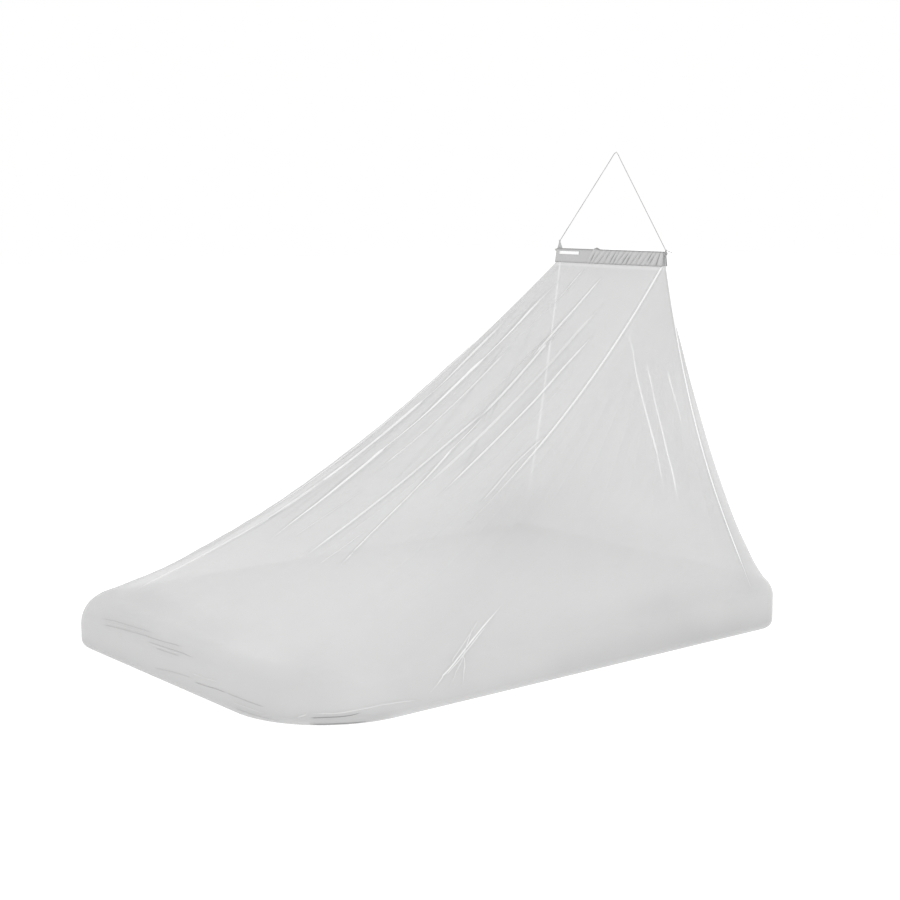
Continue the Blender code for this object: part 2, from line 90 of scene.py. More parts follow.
SEAMS = (
    # at heading, at edge
    (0.0, 0.0),                                  # far foot
    (1.0, 1.0),                                  # near foot
    (2.0, 1.93),                                 # near head
    (3.0, 3.0),                                  # far head
    (4.0, 4.0),
)
HANG = (
    # at edge, bow, shift, rounding
    (0.0, 0.52, 0.1, 0.11),
    (0.15, 0.5, 0.06, 0.09),
    (1.0, 0.5, -0.14, 0.08),
    (1.5, 0.5, -0.2, 0.075),
    (1.93, 0.52, -0.24, 0.07),
    (2.02, 0.5, 0.23, 0.07),
    (2.2, 0.05, 0.05, 0.07),
    (2.5, -0.05, 0.0, 0.07),
    (2.8, 0.05, 0.0, 0.07),
    (3.03, 0.3, 0.0, 0.07),
    (3.5, 0.48, 0.0, 0.08),
    (3.85, 0.48, 0.03, 0.09),
)
FOOT_FOLDS = (
    # at heading, at edge, height mm, start, end
    (0.08, 0.02, 5.0, 0.0, 0.95),
    (0.2, 0.045, 4.5, 0.02, 0.85),
    (0.33, 0.08, 3.5, 0.03, 0.42),
    (0.4, 0.16, 5.0, 0.02, 0.7),
    (0.47, 0.27, 3.5, 0.52, 0.8),
    (0.54, 0.44, 6.0, 0.04, 0.52),
    (0.59, 0.505, 8.0, 0.1, 0.8),
    (0.66, 0.555, 3.5, 0.3, 0.78),
    (0.75, 0.6, 8.0, 0.07, 0.55),
    (0.84, 0.72, 8.0, 0.14, 0.55),
    (0.91, 0.82, 4.0, 0.2, 0.7),
    (0.96, 0.92, 3.0, 0.3, 0.8),
)
NEAR_FOLDS = (
    (0.06, 0.06, 2.4, 0.25, 0.85),
    (0.13, 0.125, 1.6, 0.3, 0.75),
    (0.24, 0.23, 2.0, 0.2, 0.6),
    (0.36, 0.35, 1.6, 0.2, 0.6),
    (0.48, 0.47, 2.0, 0.18, 0.65),
    (0.6, 0.59, 1.6, 0.2, 0.55),
    (0.72, 0.71, 2.0, 0.18, 0.7),
    (0.84, 0.83, 1.6, 0.2, 0.6),
    (0.94, 0.94, 2.4, 0.15, 0.8),
)
HEAD_FOLDS = (
    (0.05, 0.065, 3.0, 0.1, 0.9),
    (0.12, 0.13, 4.0, 0.1, 0.6),
    (0.21, 0.27, 7.0, 0.36, 0.56),
    (0.29, 0.44, 9.0, 0.32, 0.8),
    (0.37, 0.55, 9.0, 0.22, 0.76),
    (0.52, 0.68, 6.0, 0.15, 0.6),
    (0.72, 0.81, 5.0, 0.15, 0.6),
    (0.92, 0.95, 4.0, 0.1, 0.9),
)
FAR_FOLDS = (
    (0.06, 0.04, 4.0, 0.15, 0.85),
    (0.16, 0.16, 3.0, 0.2, 0.6),
    (0.29, 0.29, 4.0, 0.18, 0.65),
    (0.42, 0.42, 3.0, 0.2, 0.55),
    (0.56, 0.56, 4.0, 0.2, 0.6),
    (0.7, 0.7, 3.0, 0.2, 0.55),
    (0.84, 0.84, 4.0, 0.25, 0.7),
    (0.96, 0.96, 5.0, 0.15, 0.9),
)
VALLEY_SHARE = 0.6
FOLD_FADE = 0.10

# Panel name, travel along its edge, outward direction, folds, steps between a
# fold and the valley beside it, how bright its folds' crests are, which sets their
# painted highlight, the painted shade beside them and a small lift, and how
# quickly the cloth falls away from them.
PANELS = (
    ("foot_net", (0.0, -1.0), (-1.0, 0.0), FOOT_FOLDS, 16, 0.10, 1.7),
    ("near_side_net", (1.0, 0.0), (0.0, -1.0), NEAR_FOLDS, 20, 0.02, 1.2),
    ("head_net", (0.0, 1.0), (1.0, 0.0), HEAD_FOLDS, 12, 0.20, 2.0),
    ("far_side_net", (-1.0, 0.0), (0.0, 1.0), FAR_FOLDS, 9, 0.20, 2.0),
)

# --- The net's finer form
NET_GREY = 0.60
NET_COVER = 0.70             # the share of the net's area that its threads fill
TAPE_GREY = 0.60
TONES = (
    # for each panel: way down, and the tone there, which is painted light and shade
    ((0.0, 0.01), (0.2, 0.01), (0.38, 0.005), (0.52, -0.01), (0.68, 0.055), (0.82, 0.1), (0.94, 0.115),
     (1.02, 0.085), (1.10, 0.040), (1.25, -0.008), (1.60, -0.015)),
    ((0.0, 0.025), (0.2, 0.02), (0.38, 0.015), (0.52, 0.005), (0.68, 0.03), (0.82, 0.06), (0.94, 0.075),
     (1.08, 0.075), (1.60, 0.070)),
    ((0.0, 0.0), (0.6, -0.02), (0.82, 0.0), (0.95, 0.045), (1.6, 0.08)),
    ((0.0, 0.0), (0.6, -0.02), (0.82, 0.0), (0.95, 0.03), (1.6, 0.05)),
)
ROW_TONES = (
    # tone, way down, width: the hem at the heading, and painted shade where the net turns in under the
    # mattress
    (0.09, 0.0045, 0.0035),
    (-0.05, 1.47, 0.045),
)
# A way down the net is 1 at the mattress, and the solids' rows go on from there.
ROW = 1 / 11
WAY_TOP_END = 1 + 4 * ROW
WAY_BASE_START = WAY_TOP_END + ROW
WAY_BASE_END = WAY_BASE_START + 3 * ROW
WAY_END = WAY_BASE_END + ROW
ROWS = (
    # from, to, steps
    (0.0, 0.012, 6),
    (0.012, 0.06, 5),
    (0.06, 0.82, 48),
    (0.82, 1.0, 30),
    (1.0, WAY_TOP_END, 36),
    (WAY_TOP_END, WAY_BASE_START, 20),
    (WAY_BASE_START, WAY_BASE_END, 6),
    (WAY_BASE_END, WAY_END, 3),
)
WAYS = np.concatenate([[0.0]] + [np.linspace(start, stop, steps + 1)[1:] for start, stop, steps in ROWS])
BACKLIT_PANEL = 2            # the head, which is seen through the near side
# Painted light: a glow on the far head seam's tape and on the head's creases, which stands in for the light
# that shines through them.
BACKLIT_GLOW = 0.45
CREASE_GLOW = 0.70
CREST_GATHER = 1.7           # how closely the columns gather at a crest
CREST_WIDTH = 0.0030
CREST_HEIGHT = 0.0040
# Painted highlight along a fold's crest, and painted shade in the trough on its shaded side.
CREST_HIGHLIGHT = 0.26
TROUGH_PLACE = -0.0085       # the shaded side of a fold, towards the far foot corner
TROUGH_WIDTH = 0.0050
TROUGH_SHADE = -0.11
FULL_FOLD = 0.011            # a fold of this height has the full tone
RIPPLE = 0.0009

# --- Seams, heading and cord
TAPE_WIDTH = 0.0056
TAPE_RISE = 0.0013
TAPE_STEPS = (-1.0, -0.7, 0.0, 0.7, 1.0)
TAPES = (
    # name, panel that starts at the seam, ways where it starts to fade and has faded, tone, painted shade
    # beside it
    ("seam_near_foot", 1, 0.36, 0.60, 0.22, -0.070),
    ("seam_near_head", 2, 0.80, 0.98, 0.32, -0.070),
    ("seam_far_head", 3, 0.62, 0.84, 0.38, -0.050),
    ("seam_far_foot", 0, 0.80, 0.98, 0.25, 0.0),
)
BACKLIT_SEAM = "seam_far_head"
# Where the painted shade beside a seam's tape lies, and how wide it is.
SEAM_SHADE_PLACE = 0.0075
SEAM_SHADE_WIDTH = 0.0035
SEAM_BLEND = 0.08

PLEATS = (
    # middle along the heading, depth, lower end, upper end, bend
    (0.086, 1.0, 0.1, 0.8, 0.01), (0.066, 0.3, 0.35, 0.9, -0.004), (0.036, 0.6, 0.02, 0.6, -0.012),
    (0.012, 0.45, 0.3, 0.95, 0.006), (-0.017, 1.1, 0.05, 0.85, 0.004), (-0.034, 0.75, 0.0, 0.55, 0.009),
    (-0.057, 0.3, 0.4, 0.95, -0.006), (-0.082, 1.15, 0.05, 0.78, -0.003), (-0.1, 0.9, 0.0, 0.7, 0.006),
    (-0.129, 0.4, 0.1, 0.55, -0.01), (-0.148, 0.45, 0.35, 0.9, 0.008), (-0.176, 0.3, 0.05, 0.5, -0.008),
    (-0.198, 1.1, 0.3, 0.9, 0.008), (-0.214, 0.8, 0.1, 0.7, 0.002), (-0.245, 1.1, 0.0, 1.0, -0.004),
)
PLEAT_LEAN = 0.72
PLEAT_EASE = 0.06
PLEAT_HEIGHT = 0.0048
PLEAT_ROUND = 0.30           # share of the distance between two pleats that the cloth stands up
PLEAT_LINE = 0.0026
# Painted shade along each pleat's fold, and along the top and the foot of the heading's band.
PLEAT_SHADE = -0.22
BAND_TOP_SHADE = -0.26
BAND_FOOT_SHADE = -0.13
BAND_THICKNESS = 0.0014
HEM_ROLL = 0.0009
HEADING_GREY = 0.47
END_DEPTH = 0.006
END_THICKNESS = 0.0009
END_CLEARANCE = 0.0012       # between a turned-in end and the sleeve and bar around it
TUFT_Y = 0.075
TUFT_HEIGHT = 0.006
TUFT_HALF_WIDTH = 0.015

LABEL_SIZE = (0.105, 0.0012, 0.012)
LABEL_Y = 0.212
LABEL_Z = 1.278
TAB_HEIGHT = 0.021
TAB_BASE = 0.026
TAB_TIP = 0.007
TAB_SLANT = 0.008
TAB_THICKNESS = 0.0024

CORD_DIAMETER = 0.003
CORD_SPACING = 0.012
CORD_ROUTE = (
    # y and z of the V in the bed's frame, from the far knot over the top to the near knot
    (0.2699, 1.3244), (0.2123, 1.3888), (0.1548, 1.453), (0.0972, 1.5173), (0.0396, 1.5816),
    (0.0086, 1.6163), (-0.01, 1.6371), (-0.018, 1.6425), (-0.025, 1.6363), (-0.0433, 1.6113),
    (-0.0723, 1.5714), (-0.1213, 1.5041), (-0.1703, 1.4368), (-0.2193, 1.3694), (-0.2683, 1.3021),
)
KNOT_RADIUS = 0.0048
KNOT_STRAND = 0.0013
NEAR_KNOT_Y = -0.2715
TAIL_RADIUS = 0.0012
TAIL_LENGTH = 0.030
TAIL_DROP = 0.007

# --- Small helpers


def to_row(points):
    return np.asarray(points, float) - HANG_POINT


def smooth_step(value):
    value = np.clip(value, 0.0, 1.0)
    return value * value * (3.0 - 2.0 * value)


def bell(distance, width):
    return np.exp(-(distance / width) ** 2)


def unit(vectors):
    return vectors / np.linalg.norm(vectors, axis=-1, keepdims=True)


def run_along(grid, axis):
    """Distance along a grid, or a line, from its first points."""
    steps = np.diff(grid, axis=axis, prepend=np.take(grid, [0], axis))
    return np.cumsum(np.linalg.norm(steps, axis=-1), axis=axis)


def grid_faces(columns, rows):
    """Quads over a grid whose points are listed column by column."""
    return [(start + row, start + row + 1, start + rows + row + 1, start + rows + row)
            for start in range(0, (columns - 1) * rows, rows) for row in range(rows - 1)]


def sheet_faces(columns, rows):
    """Faces of a closed sheet whose outer grid is followed by its inner grid."""
    inner = columns * rows
    faces = grid_faces(columns, rows)
    faces += [tuple(inner + corner for corner in reversed(face)) for face in faces]
    rim = [*range(rows), *range(2 * rows - 1, inner, rows), *range(inner - 2, inner - rows - 1, -1),
           *range(inner - 2 * rows, 0, -rows)]
    return faces + [(b, a, inner + a, inner + b) for a, b in zip(rim, rim[1:] + rim[:1])]


def tube(rings):
    """Points and faces of a form through rings of points, closed at both ends."""
    rings = np.array(rings)
    steps, sides = rings.shape[:2]
    faces = [tuple(reversed(range(sides))), tuple(range((steps - 1) * sides, steps * sides))]
    for first in range(0, (steps - 1) * sides, sides):
        for side in range(sides):
            a, b = first + side, first + (side + 1) % sides
            faces.append((a, b, b + sides, a + sides))
    return rings.reshape(-1, 3), faces


def rope(points, radius, sides=8):
    """Points and faces of a round tube along a line."""
    points = np.asarray(points, float)
    across = np.cross(unit(points[1] - points[0]), (0.31, 0.17, 0.93))
    rings = []
    for point, way in zip(points, unit(np.gradient(points, axis=0))):
        across = unit(across - way * (across @ way))
        other = np.cross(way, across)
        rings.append([point + radius * (across * math.cos(angle) + other * math.sin(angle))
                      for angle in np.linspace(0, 2 * math.pi, sides, endpoint=False)])
    return tube(rings)


def joined(shapes):
    """One list of points and one of faces from several."""
    points, faces = [], []
    for more_points, more_faces in shapes:
        start = len(points)
        points += list(more_points)
        faces += [tuple(start + corner for corner in face) for face in more_faces]
    return points, faces


def add(name, data, place=(0.0, 0.0, 0.0), rotation=(0.0, 0.0, 0.0)):
    item = bpy.data.objects.new(name, data)
    item.location = place
    item.rotation_euler = rotation
    bpy.context.scene.collection.objects.link(item)
    return item


def mesh_piece(name, points, faces, slot, material, replaced=(), tone=None, grain=None):
    """A mesh piece in the row's frame that rides on the one body."""
    mesh = bpy.data.meshes.new(name)
    mesh.from_pydata(to_row(points).tolist(), [], faces)
    mesh.shade_smooth()
    if tone is not None:
        mesh.attributes.new("tone", "FLOAT", "POINT").data.foreach_set("value", np.ravel(tone))
        corners = np.empty(len(mesh.loops), int)
        mesh.loops.foreach_get("vertex_index", corners)
        mesh.uv_layers.new(name="grain").data.foreach_set("uv", np.reshape(grain, (-1, 2))[corners].ravel())
    mesh.materials.append(material)
    return finish_piece(add(name, mesh), replaced)


def thick_piece(name, outer, inner, slot, material, replaced, tone, grain):
    """A closed sheet between two grids, with the same tone and grain on both sides."""
    points = np.concatenate([outer.reshape(-1, 3), inner.reshape(-1, 3)])
    return mesh_piece(name, points, sheet_faces(*outer.shape[:2]), slot, material, replaced,
                      np.concatenate([tone, tone]), np.concatenate([grain, grain]))


def finish_piece(piece, replaced=()):
    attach(piece, "root")
    if replaced:
        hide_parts(*replaced)
    return piece


# --- Camera, stage and light
def camera():
    data = bpy.data.cameras.new("camera")
    data.lens = LENS
    data.sensor_width = SENSOR
    data.clip_end = 200.0
    turn = (math.radians(CAMERA_TILT), 0.0, math.radians(CAMERA_TURN))
    bpy.context.scene.camera = add("camera", data, CAMERA_PLACE, turn)


def stage():
    half, low = FLOOR_SIZE / 2, -HANG_POINT[2] - FLOOR_DROP
    mesh = bpy.data.meshes.new("floor")
    mesh.from_pydata([(-half, -half, low), (half, -half, low), (half, half, low), (-half, half, low)],
                     [], [(0, 1, 2, 3)])
    material, _tree, shader = new_material("floor", 0.9)
    shader.inputs["Base Color"].default_value = (0.15, 0.15, 0.15, 1.0)
    shader.inputs["Emission Color"].default_value = WHITE
    shader.inputs["Emission Strength"].default_value = FLOOR_GLOW
    mesh.materials.append(material)
    add("floor", mesh)


def area_light(name, place, target, size, watts):
    data = bpy.data.lights.new(name, "AREA")
    data.shape = "DISK"
    data.size = size
    data.energy = watts
    turn = (Vector(target) - Vector(place)).to_track_quat("-Z", "Y")
    return add(name, data, place, turn.to_euler())


def lights():
    world = bpy.data.worlds.new("studio")
    world.use_nodes = True
    sky = world.node_tree.nodes["Background"]
    sky.inputs["Color"].default_value = WHITE
    sky.inputs["Strength"].default_value = SKY_STRENGTH
    bpy.context.scene.world = world
    area_light("key", (-5.5, -3.0, 2.8), (-0.6, 0.0, -1.0), 1.6, 55)
    area_light("fill", (-6.0, -1.5, 2.2), (-0.6, 0.0, -1.0), 2.5, 30)
    # The light that the net lets through, which shines up from just over the mattress.
    inner = area_light("inner", INNER_PLACE, (INNER_PLACE[0], INNER_PLACE[1], 0.0), 1.0, INNER_WATTS)
    inner.visible_camera = False
    view = bpy.context.scene.view_settings
    view.view_transform = "Standard"
    view.look = "None"


# --- Materials
def new_material(name, roughness):
    material = bpy.data.materials.new(name)
    material.use_nodes = True
    tree = material.node_tree
    shader = tree.nodes["Principled BSDF"]
    shader.inputs["Roughness"].default_value = roughness
    shader.inputs["Specular IOR Level"].default_value = 0.25
    return material, tree, shader


def node(tree, kind, inputs=(), **settings):
    """A new node. Inputs are (name or number, socket or value)."""
    item = tree.nodes.new(kind)
    for key, value in settings.items():
        setattr(item, key, value)
    for key, value in inputs:
        if isinstance(value, bpy.types.NodeSocket):
            tree.links.new(value, item.inputs[key])
        else:
            item.inputs[key].default_value = value
    return item


def maths(tree, operation, *values):
    return node(tree, "ShaderNodeMath", enumerate(values), operation=operation).outputs[0]


def threads(tree, pitch_across, pitch_along, tilt=0.0):
    """Height of crossing threads, 0 in the holes to 1 on a thread, from the grain's metres."""
    grain = node(tree, "ShaderNodeUVMap", uv_map="grain").outputs["UV"]
    turned = node(tree, "ShaderNodeMapping", [("Vector", grain), ("Rotation", (0.0, 0.0, tilt))])
    heights = []
    for direction, pitch in (("X", pitch_across), ("Y", pitch_along)):
        wave = node(tree, "ShaderNodeTexWave", [("Vector", turned.outputs[0]),
                                                ("Scale", 2 * math.pi / pitch / 20)],
                    wave_type="BANDS", bands_direction=direction, wave_profile="SIN")
        heights.append(wave.outputs["Fac"])
    return maths(tree, "MAXIMUM", *heights)


def noise(tree, scale, detail):
    place = node(tree, "ShaderNodeTexCoord").outputs["Object"]
    inputs = [("Vector", place), ("Scale", scale), ("Detail", detail)]
    return node(tree, "ShaderNodeTexNoise", inputs).outputs["Fac"]


def swing(tree, value, middle, amount):
    """How far a value is from its middle, times an amount."""
    return maths(tree, "MULTIPLY", maths(tree, "SUBTRACT", value, middle), amount)


def dress(tree, shader, grey, height, relief, strength=1.0):
    """Gives the shader its grey and its relief."""
    colour = node(tree, "ShaderNodeCombineColor", [(channel, grey) for channel in range(3)])
    bump = node(tree, "ShaderNodeBump", [("Strength", strength), ("Distance", relief), ("Height", height)])
    tree.links.new(colour.outputs[0], shader.inputs["Base Color"])
    tree.links.new(bump.outputs[0], shader.inputs["Normal"])


def cloth_material(name, grey, pitch, alpha=1.0, mottle=0.02, relief=0.0004, weave_contrast=0.03, glow=0.0):
    """Grey cloth whose shade follows the tone attribute, with crossing threads and soft mottling."""
    material, tree, shader = new_material(name, 0.85)
    weave = threads(tree, *pitch)
    tone = node(tree, "ShaderNodeAttribute", attribute_name="tone").outputs["Fac"]
    shade = maths(tree, "ADD", grey, tone)
    for swings in ((noise(tree, 7.0, 4.0), 0.5, 2 * mottle), (weave, 0.7, weave_contrast)):
        shade = maths(tree, "ADD", shade, swing(tree, *swings))
    dress(tree, shader, shade, weave, relief, 0.5)
    for key, value in (("Alpha", alpha), ("Emission Color", WHITE), ("Emission Strength", glow),
                       ("Sheen Weight", 0.15), ("Sheen Roughness", 0.5)):
        shader.inputs[key].default_value = value
    return material


# --- The hang of the net
def outline_point(way, inset, half, radii, centre=(0.0, 0.0)):
    """Point and outward direction on a round-cornered outline, as in the solids."""
    panel, share = int(way % 4), way % 1
    travel, outward = np.array(PANELS[panel][1]), np.array(PANELS[panel][2])
    first, last = radii[panel], radii[(panel + 1) % 4]
    half_run, reach = np.abs(travel) @ half, np.abs(outward) @ half
    arcs = (first * math.pi / 4, last * math.pi / 4)
    straight = max(2 * half_run - first - last, 1e-9)
    run = share * (arcs[0] + straight + arcs[1]) - arcs[0]
    half_run -= inset
    reach -= inset
    first = max(first - inset, min(first, TIGHTEST_CORNER))
    last = max(last - inset, min(last, TIGHTEST_CORNER))
    along = first - half_run + min(max(run / straight, 0.0), 1.0) * (2 * half_run - first - last)
    corner, angle = 0.0, 0.0
    if run < 0:
        corner, angle = first, run / arcs[0] * math.pi / 4
    elif run > straight:
        corner, angle = last, (run - straight) / arcs[1] * math.pi / 4
    turn = travel * math.sin(angle) + outward * math.cos(angle)
    return np.array(centre) + travel * along + outward * (reach - corner) + corner * turn, turn


def bed_point(way, inset=0.0):
    return outline_point(way, inset, np.array((BED_LENGTH / 2, BED_WIDTH / 2)), CORNER_RADII)


def heading_point(way):
    return outline_point(way, 0.0, np.array((HEADING_HALF_DEPTH, HEADING_LENGTH / 2)),
                         (HEADING_HALF_DEPTH,) * 4, (HEADING_X, HEADING_Y))


def bed_offset(way, inset):
    if inset >= 0:
        return bed_point(way, inset)[0]
    edge, normal = bed_point(way)
    return edge - inset * normal


def hang_at(at_edge, item):
    return float(np.interp(at_edge, [row[0] for row in HANG], [row[item] for row in HANG], period=4))


def rib(at_heading, at_edge):
    """Middle line of the net from the heading to the end of its tucked margin."""
    bow, shift, rounding = (hang_at(at_edge, item) for item in (1, 2, 3))
    start = np.append(heading_point(at_heading)[0], NET_TOP)
    outward = bed_point(at_edge)[1]

    def over_edge(angle):
        reach = rounding + NET_OFFSET
        plan = bed_offset(at_edge, rounding - reach * math.sin(angle))
        return np.append(plan, BED_TOP - rounding + reach * math.cos(angle))

    def around_base(part):
        angle = part * math.pi / 2
        reach = BASE_ROUND + NET_OFFSET + (TUCK_OFFSET - NET_OFFSET) * part
        plan = bed_offset(at_edge, BASE_ROUND - reach * math.cos(angle))
        return np.append(plan, BED_BASE + BASE_ROUND - reach * math.sin(angle))

    lean = math.pi / 4
    for _ in range(8):
        touch = over_edge(lean)
        drop = start[2] - touch[2]
        inward = (start - touch)[:2] @ -outward
        lean = math.atan2(drop * (1 - bow - shift), max(inward, 0.001))
    side = (over_edge(math.pi / 2), around_base(0.0))
    margin = (around_base(1.0), np.append(bed_offset(at_edge, BASE_ROUND + TUCK_WIDTH), NET_THICKNESS / 2))
    points = []
    for way in WAYS:
        if way <= 1:
            point = start + (touch - start) * way
            point[2] = start[2] - drop * (way + (bow + shift * (2 * way - 1)) * way * (1 - way))
        elif way <= WAY_TOP_END + 1e-9:
            point = over_edge(lean + (math.pi / 2 - lean) * (way - 1) / (WAY_TOP_END - 1))
        elif way <= WAY_BASE_START + 1e-9:
            point = side[0] + (side[1] - side[0]) * (way - WAY_TOP_END) / ROW
        elif way <= WAY_BASE_END + 1e-9:
            point = around_base((way - WAY_BASE_START) / (3 * ROW))
        else:
            point = margin[0] + (margin[1] - margin[0]) * (way - WAY_BASE_END) / ROW
        points.append(point)
    return np.array(points)


def grid_normals(grid, top_normals):
    """Outward unit normals of the closed ring of columns, level at the heading."""
    across = np.roll(grid, -1, axis=0) - np.roll(grid, 1, axis=0)
    normals = np.cross(np.gradient(grid, axis=1), across)
    normals[:, 0] = top_normals
    normals[:, WAYS > WAY_BASE_END] = (0.0, 0.0, -1.0)
    return unit(normals)


def panel_columns(panel):
    """Fine columns: share at heading, share at edge, and the height, start and end of
    the peak and of the valley beside it, with the peak's part in the lift."""
    steps, _brightness, sharpness = PANELS[panel][4:]
    peaks = [(0.0, 0.0, 0.0, 0.0, 1.0), *PANELS[panel][3], (1.0, 1.0, 0.0, 0.0, 1.0)]
    columns = []
    for left, right in zip(peaks, peaks[1:]):
        valley = [(a + b) / 2 for a, b in zip(left, right)]
        valley[2] *= -VALLEY_SHARE
        for step in range(2 * steps):
            peak = left if step < steps else right
            away = (min(step, 2 * steps - step) / steps) ** CREST_GATHER
            shares = [peak[i] + (valley[i] - peak[i]) * away for i in (0, 1)]
            columns.append((*shares, peak[2:], valley[2:], (1 - away) ** sharpness))
    columns.append((1.0, 1.0, peaks[-1][2:], valley[2:], 1.0))
    return columns


def fade(start, end):
    return smooth_step((WAYS - start) / FOLD_FADE) * smooth_step((end - WAYS) / FOLD_FADE)


def at_share(shares, values, share):
    """Values at a share of the way across, between the columns on either side."""
    place = np.interp(share, shares, np.arange(len(shares)))
    low = min(int(place), len(shares) - 2)
    return values[low] + (values[low + 1] - values[low]) * (place - low)


def drape():
    """The whole net as one ring: each panel's grid, normals, tone and shares."""
    grid, lifts, tops, ranges, shares = [], [], [], [], []
    for panel in range(len(PANELS)):
        columns = panel_columns(panel)
        ranges.append((len(grid), len(grid) + len(columns) - 1))
        (heading_a, edge_a), (heading_b, edge_b) = SEAMS[panel], SEAMS[panel + 1]
        shares.append(np.array([column[1] for column in columns]))
        for at_heading, at_edge, peak, valley, part in columns[:-1]:
            way = heading_a + (heading_b - heading_a) * at_heading
            grid.append(rib(way, edge_a + (edge_b - edge_a) * at_edge))
            lifts.append((peak[0] * fade(*peak[1:]) * part
                          + valley[0] * fade(*valley[1:]) * (1 - part)) / 1000)
            tops.append((*heading_point(way)[1], 0.0))
    grid = np.array(grid)
    grid += grid_normals(grid, tops) * np.array(lifts)[:, :, None]
    normals = grid_normals(grid, tops)
    panels = []
    for panel, (first, last) in enumerate(ranges):
        picks = np.arange(first, last + 1) % len(grid)
        panels.append(finer_form(panel, grid[picks], normals[picks], shares[panel]))
    ring = np.concatenate([net["grid"][:-1] for net in panels])
    normals = grid_normals(ring, tops)
    for net, (first, last) in zip(panels, ranges):
        net["normals"] = normals[np.arange(first, last + 1) % len(ring)]
    blend_seams(panels)
    return panels


def blend_seams(panels):
    """Gives two nets the same tone where they meet."""
    for panel, net in enumerate(panels):
        before = panels[panel - 1]
        step = net["tone"][0] - before["tone"][-1]
        for side, part in ((net, -0.5), (before, 0.5)):
            distance = side["distance"] if side is net else side["distance"][-1] - side["distance"]
            width = np.minimum(SEAM_BLEND, 0.3 * side["distance"][-1])
            side["tone"] += part * step * bell(distance, width)


def tape_of(panel):
    """The seam at which a panel starts."""
    return next(tape[2:] for tape in TAPES if tape[1] == panel % 4)


def on_net(shares, values, share, way):
    """Values at one place on a net, between its columns and rows."""
    column = at_share(shares, values, share)
    return np.array([np.interp(way, WAYS, column[:, axis]) for axis in range(column.shape[1])])


def line_route(points, step):
    """Even steps along a line of shares and ways, curved only where the net hangs free."""
    points = np.array(points, float)
    if points[:, 1].max() <= 1:
        return smooth_route(points, step)
    run = run_along(points, 0)
    at = np.linspace(0.0, run[-1], int(round(run[-1] / step)) + 3)
    return np.stack([np.interp(at, run, points[:, axis]) for axis in (0, 1)], axis=1)


def from_line(grid, normals, shares, points):
    """Signed distance of the net's points from a line, and how far along it they are."""
    route = line_route(points, 0.04)
    line = np.array([on_net(shares, grid, *at) for at in route])
    best = np.full(grid.shape[:2], 1e9)
    along = np.zeros(grid.shape[:2])
    for index, (start, stop) in enumerate(zip(line, line[1:])):
        run = stop - start
        part = np.clip((grid - start) @ run / (run @ run), 0, 1)
        gap = grid - start - part[..., None] * run
        distance = np.linalg.norm(gap, axis=2)
        side = np.where((np.cross(normals, run) * gap).sum(axis=2) < 0, -1.0, 1.0)
        closer = distance < np.abs(best)
        best[closer] = (side * distance)[closer]
        along[closer] = ((index + part) / (len(line) - 1))[closer]
    return best, along
